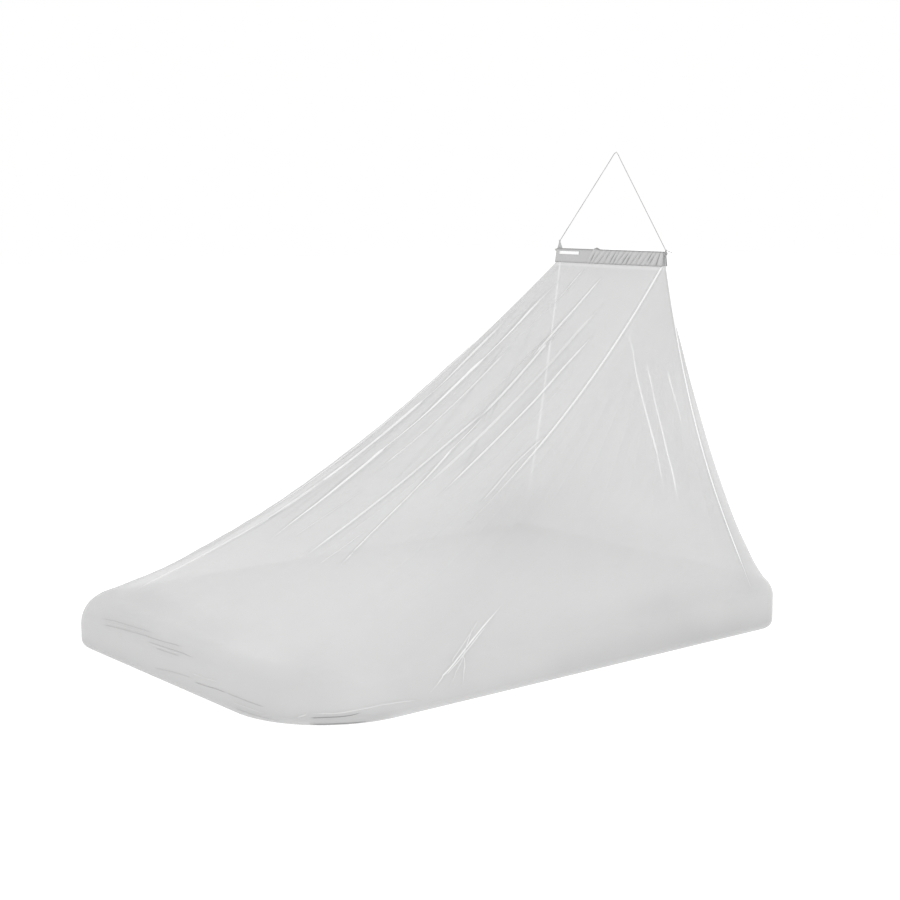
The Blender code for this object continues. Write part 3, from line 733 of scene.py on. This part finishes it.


# Lines on the net: white ones where it is pinched double, partly painted highlight, with a
# painted shade beside the large ones, and fine creases towards the base in painted highlight
# and painted shade.
LINES = (
    # panel, width mm, height mm, tone, painted shade beside it, (share across, way down) ...
    (0, 14, 3.0, 0.34, -0.09, ((0.023, 0.118), (0.025, 0.187), (0.031, 0.266), (0.044, 0.345),
        (0.048, 0.424), (0.053, 0.509), (0.061, 0.598), (0.087, 0.693), (0.114, 0.755))),
    (0, 16, 3.2, 0.4, -0.14, ((0.051, 0.041), (0.056, 0.113), (0.07, 0.187), (0.084, 0.261),
        (0.108, 0.34), (0.143, 0.419), (0.168, 0.503), (0.19, 0.588), (0.222, 0.677), (0.262, 0.75))),
    (0, 12, 2.6, 0.26, -0.06, ((0.183, 0.2), (0.222, 0.292), (0.246, 0.371), (0.266, 0.451),
        (0.276, 0.53))),
    (0, 10, 2.4, 0.22, -0.06, ((0.095, 0.012), (0.108, 0.034), (0.12, 0.052), (0.141, 0.073),
        (0.165, 0.1))),
    (0, 11, 3.0, 0.32, -0.09, ((0.463, 0.025), (0.463, 0.09), (0.457, 0.125), (0.459, 0.15),
        (0.461, 0.18), (0.46, 0.215))),
    (0, 11, 4.5, 0.32, -0.09, ((0.496, 0.14), (0.504, 0.175), (0.51, 0.215), (0.515, 0.282),
        (0.521, 0.37))),
    (0, 10, 3.0, 0.3, -0.11, ((0.518, 0.33), (0.51, 0.398), (0.508, 0.477), (0.508, 0.561),
        (0.508, 0.651), (0.512, 0.765))),
    (0, 11, 3.0, 0.36, -0.12, ((0.52, 0.34), (0.551, 0.429), (0.57, 0.503), (0.6, 0.588), (0.636, 0.667),
        (0.692, 0.77))),
    (0, 13, 2.4, 0.18, -0.05, ((0.6, 0.08), (0.605, 0.171), (0.608, 0.313), (0.612, 0.387),
        (0.614, 0.466), (0.614, 0.56))),
    (0, 9, 2.8, 0.34, -0.11, ((0.734, 0.14), (0.728, 0.229), (0.73, 0.303), (0.728, 0.377), (0.73, 0.456),
        (0.727, 0.55))),
    (0, 8, 1.8, 0.16, -0.06, ((0.332, 0.57), (0.337, 0.65), (0.339, 0.72))),
    (0, 8, 1.8, 0.16, -0.06, ((0.595, 0.66), (0.6, 0.77))),
    (0, 8.5, 2.2, 0.24, -0.08, ((0.988, 0.37), (0.966, 0.41), (0.955, 0.455), (0.964, 0.51),
        (0.97, 0.555))),
    (0, 18, 2.6, 0.18, 0.0, ((0.053, 0.551), (0.07, 0.619), (0.079, 0.672), (0.08, 0.725), (0.087, 0.794),
        (0.1, 0.864), (0.122, 0.932), (0.141, 0.975))),
    (0, 4.5, 0.6, -0.06, 0.0, ((0.15, 1.252), (0.222, 1.226), (0.3, 1.213), (0.371, 1.199), (0.42, 1.196))),
    (0, 4.5, 0.6, -0.08, 0.0, ((0.165, 1.304), (0.235, 1.279), (0.307, 1.264), (0.39, 1.246),
        (0.43, 1.24))),
    (0, 3.8, 0.8, 0.05, 0.0, ((0.175, 1.276), (0.24, 1.256), (0.31, 1.24), (0.38, 1.224))),
    (0, 4, 0.6, -0.1, 0.0, ((0.38, 1.25), (0.43, 1.242), (0.479, 1.234), (0.56, 1.212))),
    (0, 4, 0.6, -0.1, 0.0, ((0.395, 1.292), (0.486, 1.281), (0.566, 1.271), (0.625, 1.276))),
    (0, 3.8, 0.8, 0.08, 0.0, ((0.41, 1.308), (0.486, 1.299), (0.56, 1.29))),
    (0, 4, 0.6, -0.1, 0.0, ((0.44, 1.326), (0.489, 1.318), (0.56, 1.312))),
    (0, 4, 0.6, -0.06, 0.0, ((0.43, 1.436), (0.514, 1.421), (0.583, 1.413), (0.62, 1.412))),
    (0, 4.5, 0.6, -0.15, 0.0, ((0.62, 1.424), (0.688, 1.419), (0.721, 1.415), (0.775, 1.413))),
    (0, 3.8, 0.8, 0.08, 0.0, ((0.61, 1.392), (0.68, 1.39), (0.73, 1.384))),
    (0, 4.5, 0.6, -0.09, 0.0, ((0.76, 1.413), (0.822, 1.414), (0.861, 1.42), (0.905, 1.428))),
    (0, 4, 0.8, 0.08, 0.0, ((0.79, 1.44), (0.84, 1.441), (0.9, 1.452))),
    (0, 5, 0.6, -0.08, 0.0, ((0.8, 1.475), (0.84, 1.485), (0.882, 1.51), (0.93, 1.53))),
    (0, 5.5, 1.6, 0.16, 0.0, ((0.974, 1.452), (0.988, 1.444), (0.999, 1.436))),
    (1, 6.5, 1.4, 0.36, -0.04, ((0.299, 0.835), (0.293, 0.868), (0.285, 0.91), (0.28, 0.952),
        (0.278, 0.985), (0.276, 1.005), (0.265, 1.118), (0.25, 1.263), (0.238, 1.37), (0.227, 1.392),
        (0.214, 1.414), (0.204, 1.432))),
    (1, 5, 1.2, 0.28, -0.03, ((0.297, 0.89), (0.29, 0.93), (0.287, 0.97), (0.284, 0.995), (0.276, 1.077),
        (0.263, 1.195), (0.25, 1.323), (0.239, 1.38))),
    (1, 5, 1.2, 0.24, -0.03, ((0.247, 0.886), (0.263, 0.926), (0.276, 0.966), (0.284, 0.992),
        (0.287, 1.054), (0.285, 1.269), (0.283, 1.38), (0.28, 1.441))),
    (1, 5.5, 1.2, 0.14, -0.03, ((0.257, 0.876), (0.261, 0.916), (0.264, 0.954), (0.266, 0.992),
        (0.261, 1.091))),
    (1, 5.5, 1.2, 0.16, -0.03, ((0.284, 0.97), (0.286, 0.995), (0.282, 1.091), (0.273, 1.239),
        (0.265, 1.373), (0.257, 1.397), (0.25, 1.421))),
    (1, 5.5, 1.8, 0.16, 0.0, ((0.001, 1.436), (0.018, 1.435), (0.049, 1.435), (0.066, 1.43),
        (0.081, 1.426), (0.097, 1.424), (0.114, 1.42), (0.152, 1.424), (0.192, 1.433))),
    (1, 4.5, 0.4, -0.26, 0.0, ((0.0, 1.452), (0.022, 1.449), (0.052, 1.448), (0.068, 1.445),
        (0.085, 1.438))),
    (1, 6.5, 0.4, -0.42, 0.0, ((0.0, 1.59), (0.02, 1.585), (0.045, 1.58), (0.07, 1.585), (0.1, 1.58))),
    (2, 8, -1.6, 0.34, 0.0, ((0.556, 0.23), (0.503, 0.366), (0.468, 0.482), (0.443, 0.604),
        (0.421, 0.745))),
    (2, 10, -1.6, 0.34, 0.0, ((0.43, 0.32), (0.404, 0.44), (0.381, 0.53), (0.367, 0.635), (0.361, 0.755))),
    (2, 9, -1.4, 0.3, 0.0, ((0.267, 0.33), (0.267, 0.408), (0.264, 0.495))),
    (3, 8, 1.6, 0.2, -0.05, ((0.3, 0.15), (0.29, 0.4), (0.285, 0.66))),
    (3, 8, 1.6, 0.2, -0.05, ((0.56, 0.18), (0.56, 0.42), (0.565, 0.62))),
    (3, 8, 1.6, 0.22, -0.05, ((0.85, 0.25), (0.845, 0.45), (0.835, 0.72))),
)
LINE_STEP = 0.012
LINE_ENDS = (0.12, 0.15)      # shares of a line over which it rises and fades
LINE_STAND = 0.0008
RIDGE_WIDTH = 0.6            # in widths of the line
LINE_SECTION = (
    # place across, rise, tone
    (-1.0, -0.25, 0.15),
    (-0.6, 0.45, 0.7),
    (-0.2, 0.95, 1.0),
    (0.2, 0.95, 1.0),
    (0.6, 0.45, 0.7),
    (1.0, -0.25, 0.15),
)
# Where the painted shade beside a line lies, and how wide it is.
SHADE_PLACE = -0.80          # in widths of the line
SHADE_WIDTH = 0.38

# Broad soft bands of painted light and painted shade, which follow a line on a net.
BANDS = (
    # panel, width mm, lift mm, tone, (share across, way down) ...
    (0, 45, 0.0, 0.11, ((0.026, 0.45), (0.045, 0.6), (0.052, 0.72), (0.062, 0.84), (0.08, 0.94),
        (0.095, 1.02))),
    (0, 12, 0.0, -0.09, ((0.068, 0.52), (0.086, 0.62), (0.096, 0.7), (0.1, 0.77), (0.11, 0.85))),
    (0, 13, 1.0, 0.045, ((0.612, 0.28), (0.613, 0.4), (0.614, 0.55))),
    (0, 22, 0.0, -0.035, ((0.675, 0.16), (0.672, 0.32), (0.665, 0.52))),
    (0, 16, 0.0, -0.03, ((0.14, 0.2), (0.19, 0.4), (0.225, 0.56))),
    (1, 20, -0.8, -0.085, ((-0.03, 1.53), (0.02, 1.52), (0.06, 1.52), (0.1, 1.52), (0.15, 1.5))),
    (1, 45, 0.0, -0.03, ((0.42, 1.44), (0.65, 1.4), (0.9, 1.38))),
    (1, 140, 0.0, -0.035, ((0.0, 0.9), (0.0, 1.2), (0.0, 1.4), (0.0, 1.6))),
    (2, 60, 0.0, 0.13, ((0.05, 0.1), (0.05, 0.45), (0.06, 0.75), (0.07, 1.0), (0.08, 1.3), (0.08, 1.65))),
)

# Soft patches of painted shade where the cloth lies close to what is under it, and one of painted light.
LIGHT_AND_SHADE_PATCHES = (
    # centre, radii, tone
    ((-0.89, 0.35, 0.2), (0.06, 0.16, 0.04), -0.045),
    ((-0.94, -0.33, 0.175), (0.05, 0.14, 0.05), 0.035),
    ((-0.96, 0.36, 0.17), (0.1, 0.26, 0.07), -0.03),
    ((-0.93, -0.12, 0.16), (0.1, 0.2, 0.06), -0.03),
    ((-0.9, -0.48, 0.12), (0.14, 0.18, 0.09), -0.02),
    ((0.42, -0.68, 0.17), (0.16, 0.1, 0.06), -0.035),
    ((0.62, -0.69, 0.04), (0.42, 0.08, 0.045), -0.06),
    ((-0.1, -0.47, 0.48), (0.14, 0.06, 0.1), -0.045),
)


def finer_form(panel, grid, normals, shares):
    """Adds crests, crossing creases and ripples, and works out the cloth's tone, which is mostly painted
    light and shade.
    """
    _name, _travel, _outward, folds, _steps, brightness, _sharpness = PANELS[panel]
    distance = run_along(grid, 0)
    length = run_along(grid, 1)
    # Painted light and shade by way down the panel.
    tone = np.tile(np.interp(WAYS, *zip(*TONES[panel])), (len(grid), 1))
    lift = np.zeros(grid.shape[:2])
    # Each fold's crest is lifted a little and gets painted highlight, with painted shade on its side towards
    # the far foot corner.
    for fold in folds:
        off = distance - at_share(shares, distance, fold[1])[None]
        force = min(fold[2] / 1000 / FULL_FOLD, 1.2) * fade(*fold[3:])
        lift += CREST_HEIGHT * brightness * force * bell(off, CREST_WIDTH)
        tone += brightness * force * (CREST_HIGHLIGHT * bell(off, CREST_WIDTH)
                                      + TROUGH_SHADE * bell(off - TROUGH_PLACE, TROUGH_WIDTH))
    # Bands of painted light and painted shade.
    for line_panel, width, rise, shade, points in BANDS:
        if line_panel == panel:
            off, along = from_line(grid, normals, shares, points)
            force = smooth_step(along / 0.2) * smooth_step((1 - along) / 0.2) * bell(off, width / 1000)
            lift += rise / 1000 * force
            tone += shade * force
    # A ridge under each large line, with painted shade beside it.
    for line_panel, width, rise, _light, shade, points in LINES:
        if line_panel == panel and shade:
            off, along = from_line(grid, normals, shares, points)
            off *= 1000 / width
            force = line_force(along)
            lift += rise / 1000 * force * bell(off, RIDGE_WIDTH)
            tone += shade * force * (bell(off - SHADE_PLACE, SHADE_WIDTH)
                                     + 0.45 * bell(off + SHADE_PLACE, SHADE_WIDTH))
    # Painted shade in soft patches, and painted light in one.
    for centre, radii, shade in LIGHT_AND_SHADE_PATCHES:
        tone += shade * np.exp(-(((grid - np.array(centre)) / np.array(radii)) ** 2).sum(axis=2))
    free = smooth_step(WAYS / 0.10) * smooth_step((WAY_BASE_START - WAYS) / 0.2)
    ripple = (np.sin(distance * 61 + 2.0 * np.sin(length * 4.1)) * 0.6
              + np.sin(distance * 23 - length * 9.0 + 1.3) * 0.7
              + np.sin(distance * 37 + length * 21.0 + 0.4) * 0.4)
    lift += RIPPLE * ripple * free
    # Painted shade beside each seam's tape, and no lift right at the seam.
    from_seams = (distance, distance[-1][None] - distance)
    for from_seam, (start, stop, _tone, shade) in zip(from_seams, (tape_of(panel), tape_of(panel + 1))):
        force = 1 - smooth_step((WAYS - start) / (stop - start))
        tone += shade * force * bell(from_seam - SEAM_SHADE_PLACE, SEAM_SHADE_WIDTH)
        lift *= smooth_step(from_seam / 0.02)
    # The hem's light line at the heading, and painted shade where the net turns in under the mattress.
    for shade, way, width in ROW_TONES:
        tone += shade * bell(WAYS - way, width)
    grain = np.stack([distance - distance.mean(axis=0), length], axis=-1)
    return {"grid": grid + normals * lift[:, :, None], "normals": normals, "tone": tone, "grain": grain,
            "shares": shares, "distance": distance, "length": length}


def line_force(along):
    return smooth_step(along / LINE_ENDS[0]) * smooth_step((1 - along) / LINE_ENDS[1])


def line_strip(net, width, height, tone, shade, points):
    """A pinch of the net along a line: its points, tones, grain and normals as grids.

    A line with a painted shade beside it stands on a ridge of the net, and another on the plain net.
    """
    route = line_route(points, LINE_STEP)
    middle, normal, grain, under = (np.array([on_net(net["shares"], values, *at) for at in route])[:, None]
                                    for values in (net["grid"], net["normals"], net["grain"],
                                                   net["tone"][..., None]))
    side = unit(np.cross(np.gradient(middle, axis=0), normal))
    taper = line_force(np.linspace(0, 1, len(route)))[:, None]
    across, rise, light = np.array(LINE_SECTION).T[:, None]
    reach = 0.3 + 0.7 * taper
    stand, ridge = (LINE_STAND, height / 1000) if shade else (height / 1000, 0.0)
    drop = ridge * (1 - bell(across / 2 * reach, RIDGE_WIDTH))
    places = (middle + side * (width / 2000 * across * reach)[..., None]
              + normal * ((rise * stand - drop) * taper)[..., None])
    grain = grain + np.stack([width / 2000 * across, 0 * across], axis=-1)
    lean = 0.6 * (across * taper)[..., None]
    return places, under[..., 0] + tone * light * taper, grain, normal + lean * side


def with_lines(panel, net, groups, faces):
    """Adds one panel's pinches to the groups of points, tones, grain and normals, and to the faces."""
    start = len(groups[0][0]) if groups else 0
    for line_panel, *line in LINES:
        if line_panel == panel:
            strip = line_strip(net, *line)
            columns, rows = strip[0].shape[:2]
            faces += [tuple(start + corner for corner in face) for face in grid_faces(columns, rows)]
            groups.append([values.reshape(columns * rows, -1) for values in strip])
            start += columns * rows
    return [np.concatenate(values) for values in zip(*groups)]


def with_normals(piece, normals):
    piece.data.normals_split_custom_set_from_vertices(unit(normals).tolist())
    return piece


def net_pieces(panels):
    cloth = cloth_material("net_cloth", NET_GREY, (0.0024, 0.0024, math.radians(30)), alpha=NET_COVER,
                           mottle=0.012)
    pieces = []
    for panel, ((name, *_rest), net) in enumerate(zip(PANELS, panels)):
        columns, rows = net["grid"].shape[:2]
        values = [net[item].reshape(columns * rows, -1) for item in ("grid", "tone", "grain", "normals")]
        faces = grid_faces(columns, rows)
        if panel != BACKLIT_PANEL:
            values = with_lines(panel, net, [values], faces)
        points, tone, grain, normals = values
        piece = mesh_piece(name, points, faces, "net", cloth, [name.replace("_net", "_panel")], tone, grain)
        pieces.append(with_normals(piece, normals))
    return pieces


def declare_nets(nets, tapes, creases, panels):
    """Gathers for each net the tape of the seam at which it starts, and for the head also its creases."""
    for panel, (piece, net) in enumerate(zip(nets, panels)):
        others = [tape for tape, row in zip(tapes, TAPES) if row[1] == panel]
        if panel == BACKLIT_PANEL:
            others.append(creases)


def backlit_creases(panels, cloth):
    """The head's creases, on the inside of its net, with a painted glow that stands in for the light behind
    them.
    """
    faces = []
    points, tone, grain, normals = with_lines(BACKLIT_PANEL, panels[BACKLIT_PANEL], [], faces)
    return with_normals(mesh_piece("head_creases", points, faces, "net", cloth, (), tone, grain), normals)


def seam_tapes(panels, backlit):
    """A narrow tape over both sides of each seam, which grows thin towards its end."""
    tape_cloth = cloth_material("tape_cloth", TAPE_GREY, (0.0012, 0.0012), mottle=0.01)
    place, out = np.array([(place, out) for out in (1, -1) for place in TAPE_STEPS]).T
    across = place * TAPE_WIDTH / 2
    rise = out * TAPE_RISE * (1.1 - 0.8 * place ** 2)
    pieces = []
    for name, panel, start, stop, tone, _shade in TAPES:
        rows = WAYS < stop
        line, normal, length = (panels[panel][item][0][rows][:, None]
                                for item in ("grid", "normals", "length"))
        side = unit(np.cross(np.gradient(line, axis=0), normal))
        force = 1 - smooth_step((WAYS[rows] - start) / (stop - start))[:, None]
        rings = (line + side * (across * out * (0.4 + 0.6 * force))[..., None]
                 + normal * (rise * (0.15 + 0.85 * force))[..., None])
        grain = np.stack(np.broadcast_arrays(across, length), axis=-1)
        # The far head seam's tape glows with painted light.
        cloth = backlit if name == BACKLIT_SEAM else tape_cloth
        tones = tone * force * np.ones(len(place))
        pieces.append(mesh_piece(name, *tube(rings), "net", cloth, (), tones, grain))
    return pieces


# --- The heading
def sleeve_section(steps_up=9, steps_over=9):
    """Middle line of the sleeve and its outward normals: up the foot side, over the bar, down."""
    flank = np.linspace((HEADING_HALF_DEPTH, NET_TOP + GAP), (SLEEVE_BEND, BAR_Z), steps_up, endpoint=False)
    angles = np.linspace(0, math.pi, steps_over)
    arc = np.stack([-SLEEVE_BEND * np.cos(angles), BAR_Z + SLEEVE_BEND * np.sin(angles)], axis=1)
    section = np.concatenate([flank * (-1, 1), arc, flank[::-1]])
    return section, unit(np.gradient(section, axis=0)[:, ::-1] * (-1, 1))


def pleat_form(along, up):
    """Rise of the cloth, and its painted highlight and shade, at places along the heading and up it."""
    middles = np.array([pleat[0] + pleat[4] * (up - 0.5) for pleat in PLEATS])
    last = np.full((1, len(up)), HEADING_Y - HEADING_LENGTH / 2)
    edges = np.concatenate([middles[:1] + 0.020, middles, last])
    rise, tone = np.zeros((len(along), len(up))), np.zeros((len(along), len(up)))
    for high, low in zip(edges, edges[1:]):
        part = np.clip((high - along[:, None]) / (high - low), 0, 1)
        height = np.minimum(PLEAT_HEIGHT, PLEAT_ROUND * (high - low))
        rise += height * np.sin(math.pi * part) ** 0.8
        # Painted highlight where the cloth stands up between two pleats.
        tone += 0.05 * np.sin(math.pi * part) ** 3
    # Painted shade along each pleat's fold.
    for (_middle, depth, low, high, _bend), middle in zip(PLEATS, middles):
        reach = smooth_step((up - low) / 0.15) * smooth_step((high - up) / 0.2)
        tone += PLEAT_SHADE * depth * bell(along[:, None] - middle, PLEAT_LINE) * reach
    return rise, tone


def heading_grid(stations=420):
    section, normal = sleeve_section()
    half = HEADING_LENGTH / 2
    places = np.linspace(HEADING_Y + half, HEADING_Y - half, stations)
    low, high = section[:, 1].min(), section[:, 1].max()
    up = (section[:, 1] - low) / (high - low)
    rise, tone = pleat_form(places, up)
    swell = rise * np.sin(math.pi * (0.12 + 0.82 * up)) + HEM_ROLL * bell(up - 0.05, 0.05)
    lean = PLEAT_LEAN * smooth_step((half - np.abs(places - HEADING_Y)) / PLEAT_EASE)[:, None]
    along = places[:, None] - lean * (section[:, 1] - low - 0.4 * (high - low))
    tuft = TUFT_HEIGHT * np.clip(1 - np.abs(along - TUFT_Y) / TUFT_HALF_WIDTH, 0, 1) ** 0.7
    x = HEADING_X + section[:, 0] + normal[:, 0] * swell
    z = section[:, 1] + normal[:, 1] * swell * 0.3 + tuft * smooth_step((up - 0.7) / 0.3)
    # Painted shade along the band's top and along its foot.
    tone += BAND_TOP_SHADE * bell(up - 1, 0.07) + BAND_FOOT_SHADE * bell(up - 0.03, 0.05)
    return np.stack([x, along, z], axis=-1), tone


def heading_end(near, cloth):
    """The heading's cloth turned in over one end of the sleeve, below the bar."""
    way = -1.0 if near else 1.0
    end = HEADING_Y + way * (HEADING_LENGTH / 2 - 0.001)
    places = np.linspace(-1, 1, 13)[:, None]
    heights = np.linspace(NET_TOP + GAP + 0.001, BAR_Z - BAR_RADIUS - END_CLEARANCE, 14)
    reach = HEADING_HALF_DEPTH + (SLEEVE_BEND - HEADING_HALF_DEPTH) * (heights - NET_TOP) / (BAR_Z - NET_TOP)
    dip = END_DEPTH * (1 - abs(places)) ** 0.8 * (0.4 + 0.6 * np.sin(math.pi * np.linspace(0.1, 0.9, 14)))
    depth = end - way * dip + 0.0008 * np.sin(places * 9.0)
    across = HEADING_X + places * (reach - END_CLEARANCE)
    grid = np.stack(np.broadcast_arrays(across, depth, heights), axis=-1)
    grid = grid if near else grid[::-1]
    # Two bands of painted shade across the turned-in cloth.
    tone = -0.14 * bell(abs(places) - 0.35, 0.12) + 0 * heights
    return thick_piece("heading_near_end" if near else "heading_far_end", grid - (0, way * END_THICKNESS, 0),
                       grid, "heading_cloth", cloth, (), tone, grid[:, :, ::2])


def heading_material(name, grey):
    return cloth_material(name, grey, (0.0011, 0.0011), mottle=0.03, relief=0.0003, weave_contrast=0.06)


def heading():
    grid, tone = heading_grid()
    half = unit(np.cross(np.gradient(grid, axis=1), np.gradient(grid, axis=0))) * BAND_THICKNESS / 2
    grain = np.stack([grid[:, :, 1], run_along(grid, 1)], axis=-1)
    cloth = heading_material("heading_weave", HEADING_GREY)
    band = thick_piece("heading_band", grid + half, grid - half, "heading_cloth", cloth, ["heading"],
                       tone, grain)
    ends = [heading_end(near, cloth) for near in (True, False)]


def rod_material():
    """Even grey with a fine grain in its surface."""
    material, tree, shader = new_material("painted_rod", 0.45)
    grain = noise(tree, 400.0, 3.0)
    dress(tree, shader, maths(tree, "ADD", swing(tree, grain, 0.5, 0.12), 0.34), grain, 0.0001)
    return material


def pad(name, corners, thickness, material, slot, replaced, across=18, up=8, crown=0.0004):
    """A small closed cloth piece over four corners, a little fuller in its middle."""
    corners = np.array(corners, float)
    shares = np.linspace(0, 1, across)[:, None, None]
    rises = np.linspace(0, 1, up)[None, :, None]
    low = corners[0] + (corners[1] - corners[0]) * shares
    high = corners[3] + (corners[2] - corners[3]) * shares
    grid = low + (high - low) * rises
    normal = unit(np.cross(corners[1] - corners[0], corners[3] - corners[0]))
    edge = np.minimum.outer(np.sin(math.pi * shares.ravel()), np.sin(math.pi * rises.ravel()))
    half = thickness * (0.25 + 0.25 * smooth_step(edge / 0.5)) + crown * edge
    rise = normal * half[..., None]
    # Painted shade along the piece's edges.
    return thick_piece(name, grid - rise, grid + rise, slot, material, replaced, -0.06 * bell(edge, 0.12),
                       grid[:, :, 1:])


def label():
    """The blank white strip, which follows the slope of the heading's foot side."""
    slope = (HEADING_HALF_DEPTH - SLEEVE_BEND) / (BAR_Z - NET_TOP - GAP)
    length, thickness, height = LABEL_SIZE
    cloth = cloth_material("label_cloth", 0.86, (0.0008, 0.0008), mottle=0.01, relief=0.0002,
                           weave_contrast=0.02)
    corners = []
    for y, z in ((0.5, -0.5), (-0.5, -0.5), (-0.5, 0.5), (0.5, 0.5)):
        height_here = LABEL_Z + z * height
        depth = SLEEVE_BEND + slope * (BAR_Z - height_here) + NET_THICKNESS / 2 + GAP + thickness / 2
        corners.append((HEADING_X - depth, LABEL_Y + y * length, height_here))
    strip = pad("blank_strip", corners, thickness, cloth, "label", ["blank_label"], across=40)


def tab():
    foot, outer = HEADING_TOP + GAP, HEADING_Y + HEADING_LENGTH / 2
    cloth = heading_material("tab_weave", 0.44)
    corners = [(HEADING_X, outer - back, foot + up) for back, up in (
        (0, 0), (TAB_BASE, 0), (TAB_SLANT + TAB_TIP, TAB_HEIGHT), (TAB_SLANT, TAB_HEIGHT))]
    piece = pad("cord_tab", corners, TAB_THICKNESS, cloth, "heading_cloth", ["heading_tab"], across=12, up=12)


# --- The cord and its knots
def smooth_route(points, spacing):
    """Points at an even spacing on a smooth curve through the given ones."""
    knots = run_along(points, 0)
    slopes = np.gradient(points, knots, axis=0)
    at = np.linspace(0.0, knots[-1], int(round(knots[-1] / spacing)) + 1)
    i = np.minimum(np.searchsorted(knots, at, side="right") - 1, len(knots) - 2)
    span = (knots[i + 1] - knots[i])[:, None]
    t = (at - knots[i])[:, None] / span
    return ((2 * t**3 - 3 * t**2 + 1) * points[i] + (t**3 - 2 * t**2 + t) * span * slopes[i]
            + (3 * t**2 - 2 * t**3) * points[i + 1] + (t**3 - t**2) * span * slopes[i + 1])


def cord_material():
    """Light grey twisted cord, with painted shade in the grooves between its strands."""
    material, tree, shader = new_material("twisted_cord", 0.75)
    place = node(tree, "ShaderNodeTexCoord").outputs["Object"]
    lay = node(tree, "ShaderNodeTexWave", [("Vector", place), ("Scale", 2 * math.pi / 0.0045 / 20),
                                           ("Distortion", 1.5), ("Detail", 1.0)],
               wave_type="BANDS", bands_direction="DIAGONAL", wave_profile="SIN").outputs["Fac"]
    dress(tree, shader, maths(tree, "ADD", maths(tree, "MULTIPLY", lay, 0.12), 0.38), lay, 0.0005)
    return material


def cord_pieces():
    material = cord_material()
    route = np.array([(HEADING_X, y, z) for y, z in CORD_ROUTE])
    line = to_row(smooth_route(route, CORD_SPACING))
    curve = bpy.data.curves.new("hanging_line", "CURVE")
    curve.dimensions = "3D"
    curve.bevel_depth = CORD_DIAMETER / 2
    curve.bevel_resolution = 3
    curve.use_fill_caps = True
    spline = curve.splines.new("POLY")
    spline.points.add(len(line) - 1)
    for knot, point in zip(spline.points, line):
        knot.co = (*map(float, point), 1.0)
    curve.materials.append(material)
    cord = finish_piece(add("hanging_line", curve), ["hanging_cord"])
    far_centre = np.array((HEADING_X, HEADING_Y + HEADING_LENGTH / 2 - TAB_SLANT - TAB_TIP / 2,
                           HEADING_TOP + 2 * GAP + TAB_HEIGHT + KNOT_RADIUS))
    near_centre = np.array((HEADING_X, NEAR_KNOT_Y,
                            BAR_Z + BAR_RADIUS + GAP + CORD_DIAMETER + 0.6 * KNOT_RADIUS))
    far = mesh_piece("far_tie", *knot_shape(far_centre), "cord", material, ["far_knot"])
    turn = [near_centre * (1, 1, 0) + (0, 0, BAR_Z)
            + (BAR_RADIUS + GAP + CORD_DIAMETER / 2) * np.array((math.cos(a), 0.0, math.sin(a)))
            + (0.0, 0.0008 * math.sin(a / 2), 0.0) for a in np.linspace(0, 2 * math.pi, 33)]
    tail = [near_centre - (0.0, TAIL_LENGTH * part, TAIL_DROP * part ** 1.4)
            for part in np.linspace(0.06, 1, 9)]
    shapes = (knot_shape(near_centre), rope(turn, CORD_DIAMETER / 2 * 0.97), rope(tail, TAIL_RADIUS))
    near = mesh_piece("near_tie", *joined(shapes), "cord", material, ["near_knot"])


def knot_shape(centre, turns=72):
    """An overhand knot pulled tight: one strand that passes through its own loop."""
    angle = np.linspace(0, 2 * math.pi, turns)
    strand = np.stack([0.75 * np.sin(3 * angle), np.sin(angle) + 2 * np.sin(2 * angle),
                       np.cos(angle) - 2 * np.cos(2 * angle)], axis=1)
    return rope(centre + strand * (KNOT_RADIUS - KNOT_STRAND) / 3.0, KNOT_STRAND)


# --- The mattress
def mattress(around=220, over_edge=12, inwards=18):
    """Plain mattress with a soft crown, on the solid's outline."""
    ways = np.linspace(0, 4, around, endpoint=False)
    roundings = [hang_at(way, 3) + EDGE_EASE for way in ways]
    rings = [[(*bed_point(way, BASE_ROUND * (1 - math.sin(angle)))[0],
               BED_BASE + BASE_ROUND * (1 - math.cos(angle))) for way in ways]
             for angle in np.linspace(0, math.pi / 2, 6)]
    rings += [[(*bed_point(way, rounding * (1 - math.cos(angle)))[0],
                BED_TOP + rounding * (math.sin(angle) - 1)) for way, rounding in zip(ways, roundings)]
              for angle in np.linspace(0, math.pi / 2, over_edge)]
    edge = np.array(rings[-1])
    for part in np.linspace(0, 1, inwards, endpoint=False)[1:]:
        rings.append(edge * (1 - part, 1 - part, 1) + (0, 0, 0.004 * smooth_step(part / 0.5)))
    points, faces = tube(rings)
    piece = mesh_piece("plain_mattress", points, faces, "mattress_cloth",
                       cloth_material("ticking", 0.80, (0.0016, 0.0016)), ["mattress"],
                       np.zeros(len(points)), points[:, :2] + points[:, 2:] * 0.7)


def bar():
    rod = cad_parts["spreader_bar"]
    rod.data.materials.clear()
    rod.data.materials.append(rod_material())


camera()
cord_pieces()
stage()
lights()
panels = drape()
nets = net_pieces(panels)
# Cloth that glows with painted light, for the far head seam's tape and for the head's creases.
backlit = [cloth_material(name, TAPE_GREY, (0.0012, 0.0012), mottle=0.01, glow=glow)
           for name, glow in (("backlit_tape", BACKLIT_GLOW), ("backlit_crease", CREASE_GLOW))]
tapes = seam_tapes(panels, backlit[0])
creases = backlit_creases(panels, backlit[1])
heading()
label()
tab()
bar()
mattress()
declare_nets(nets, tapes, creases, panels)
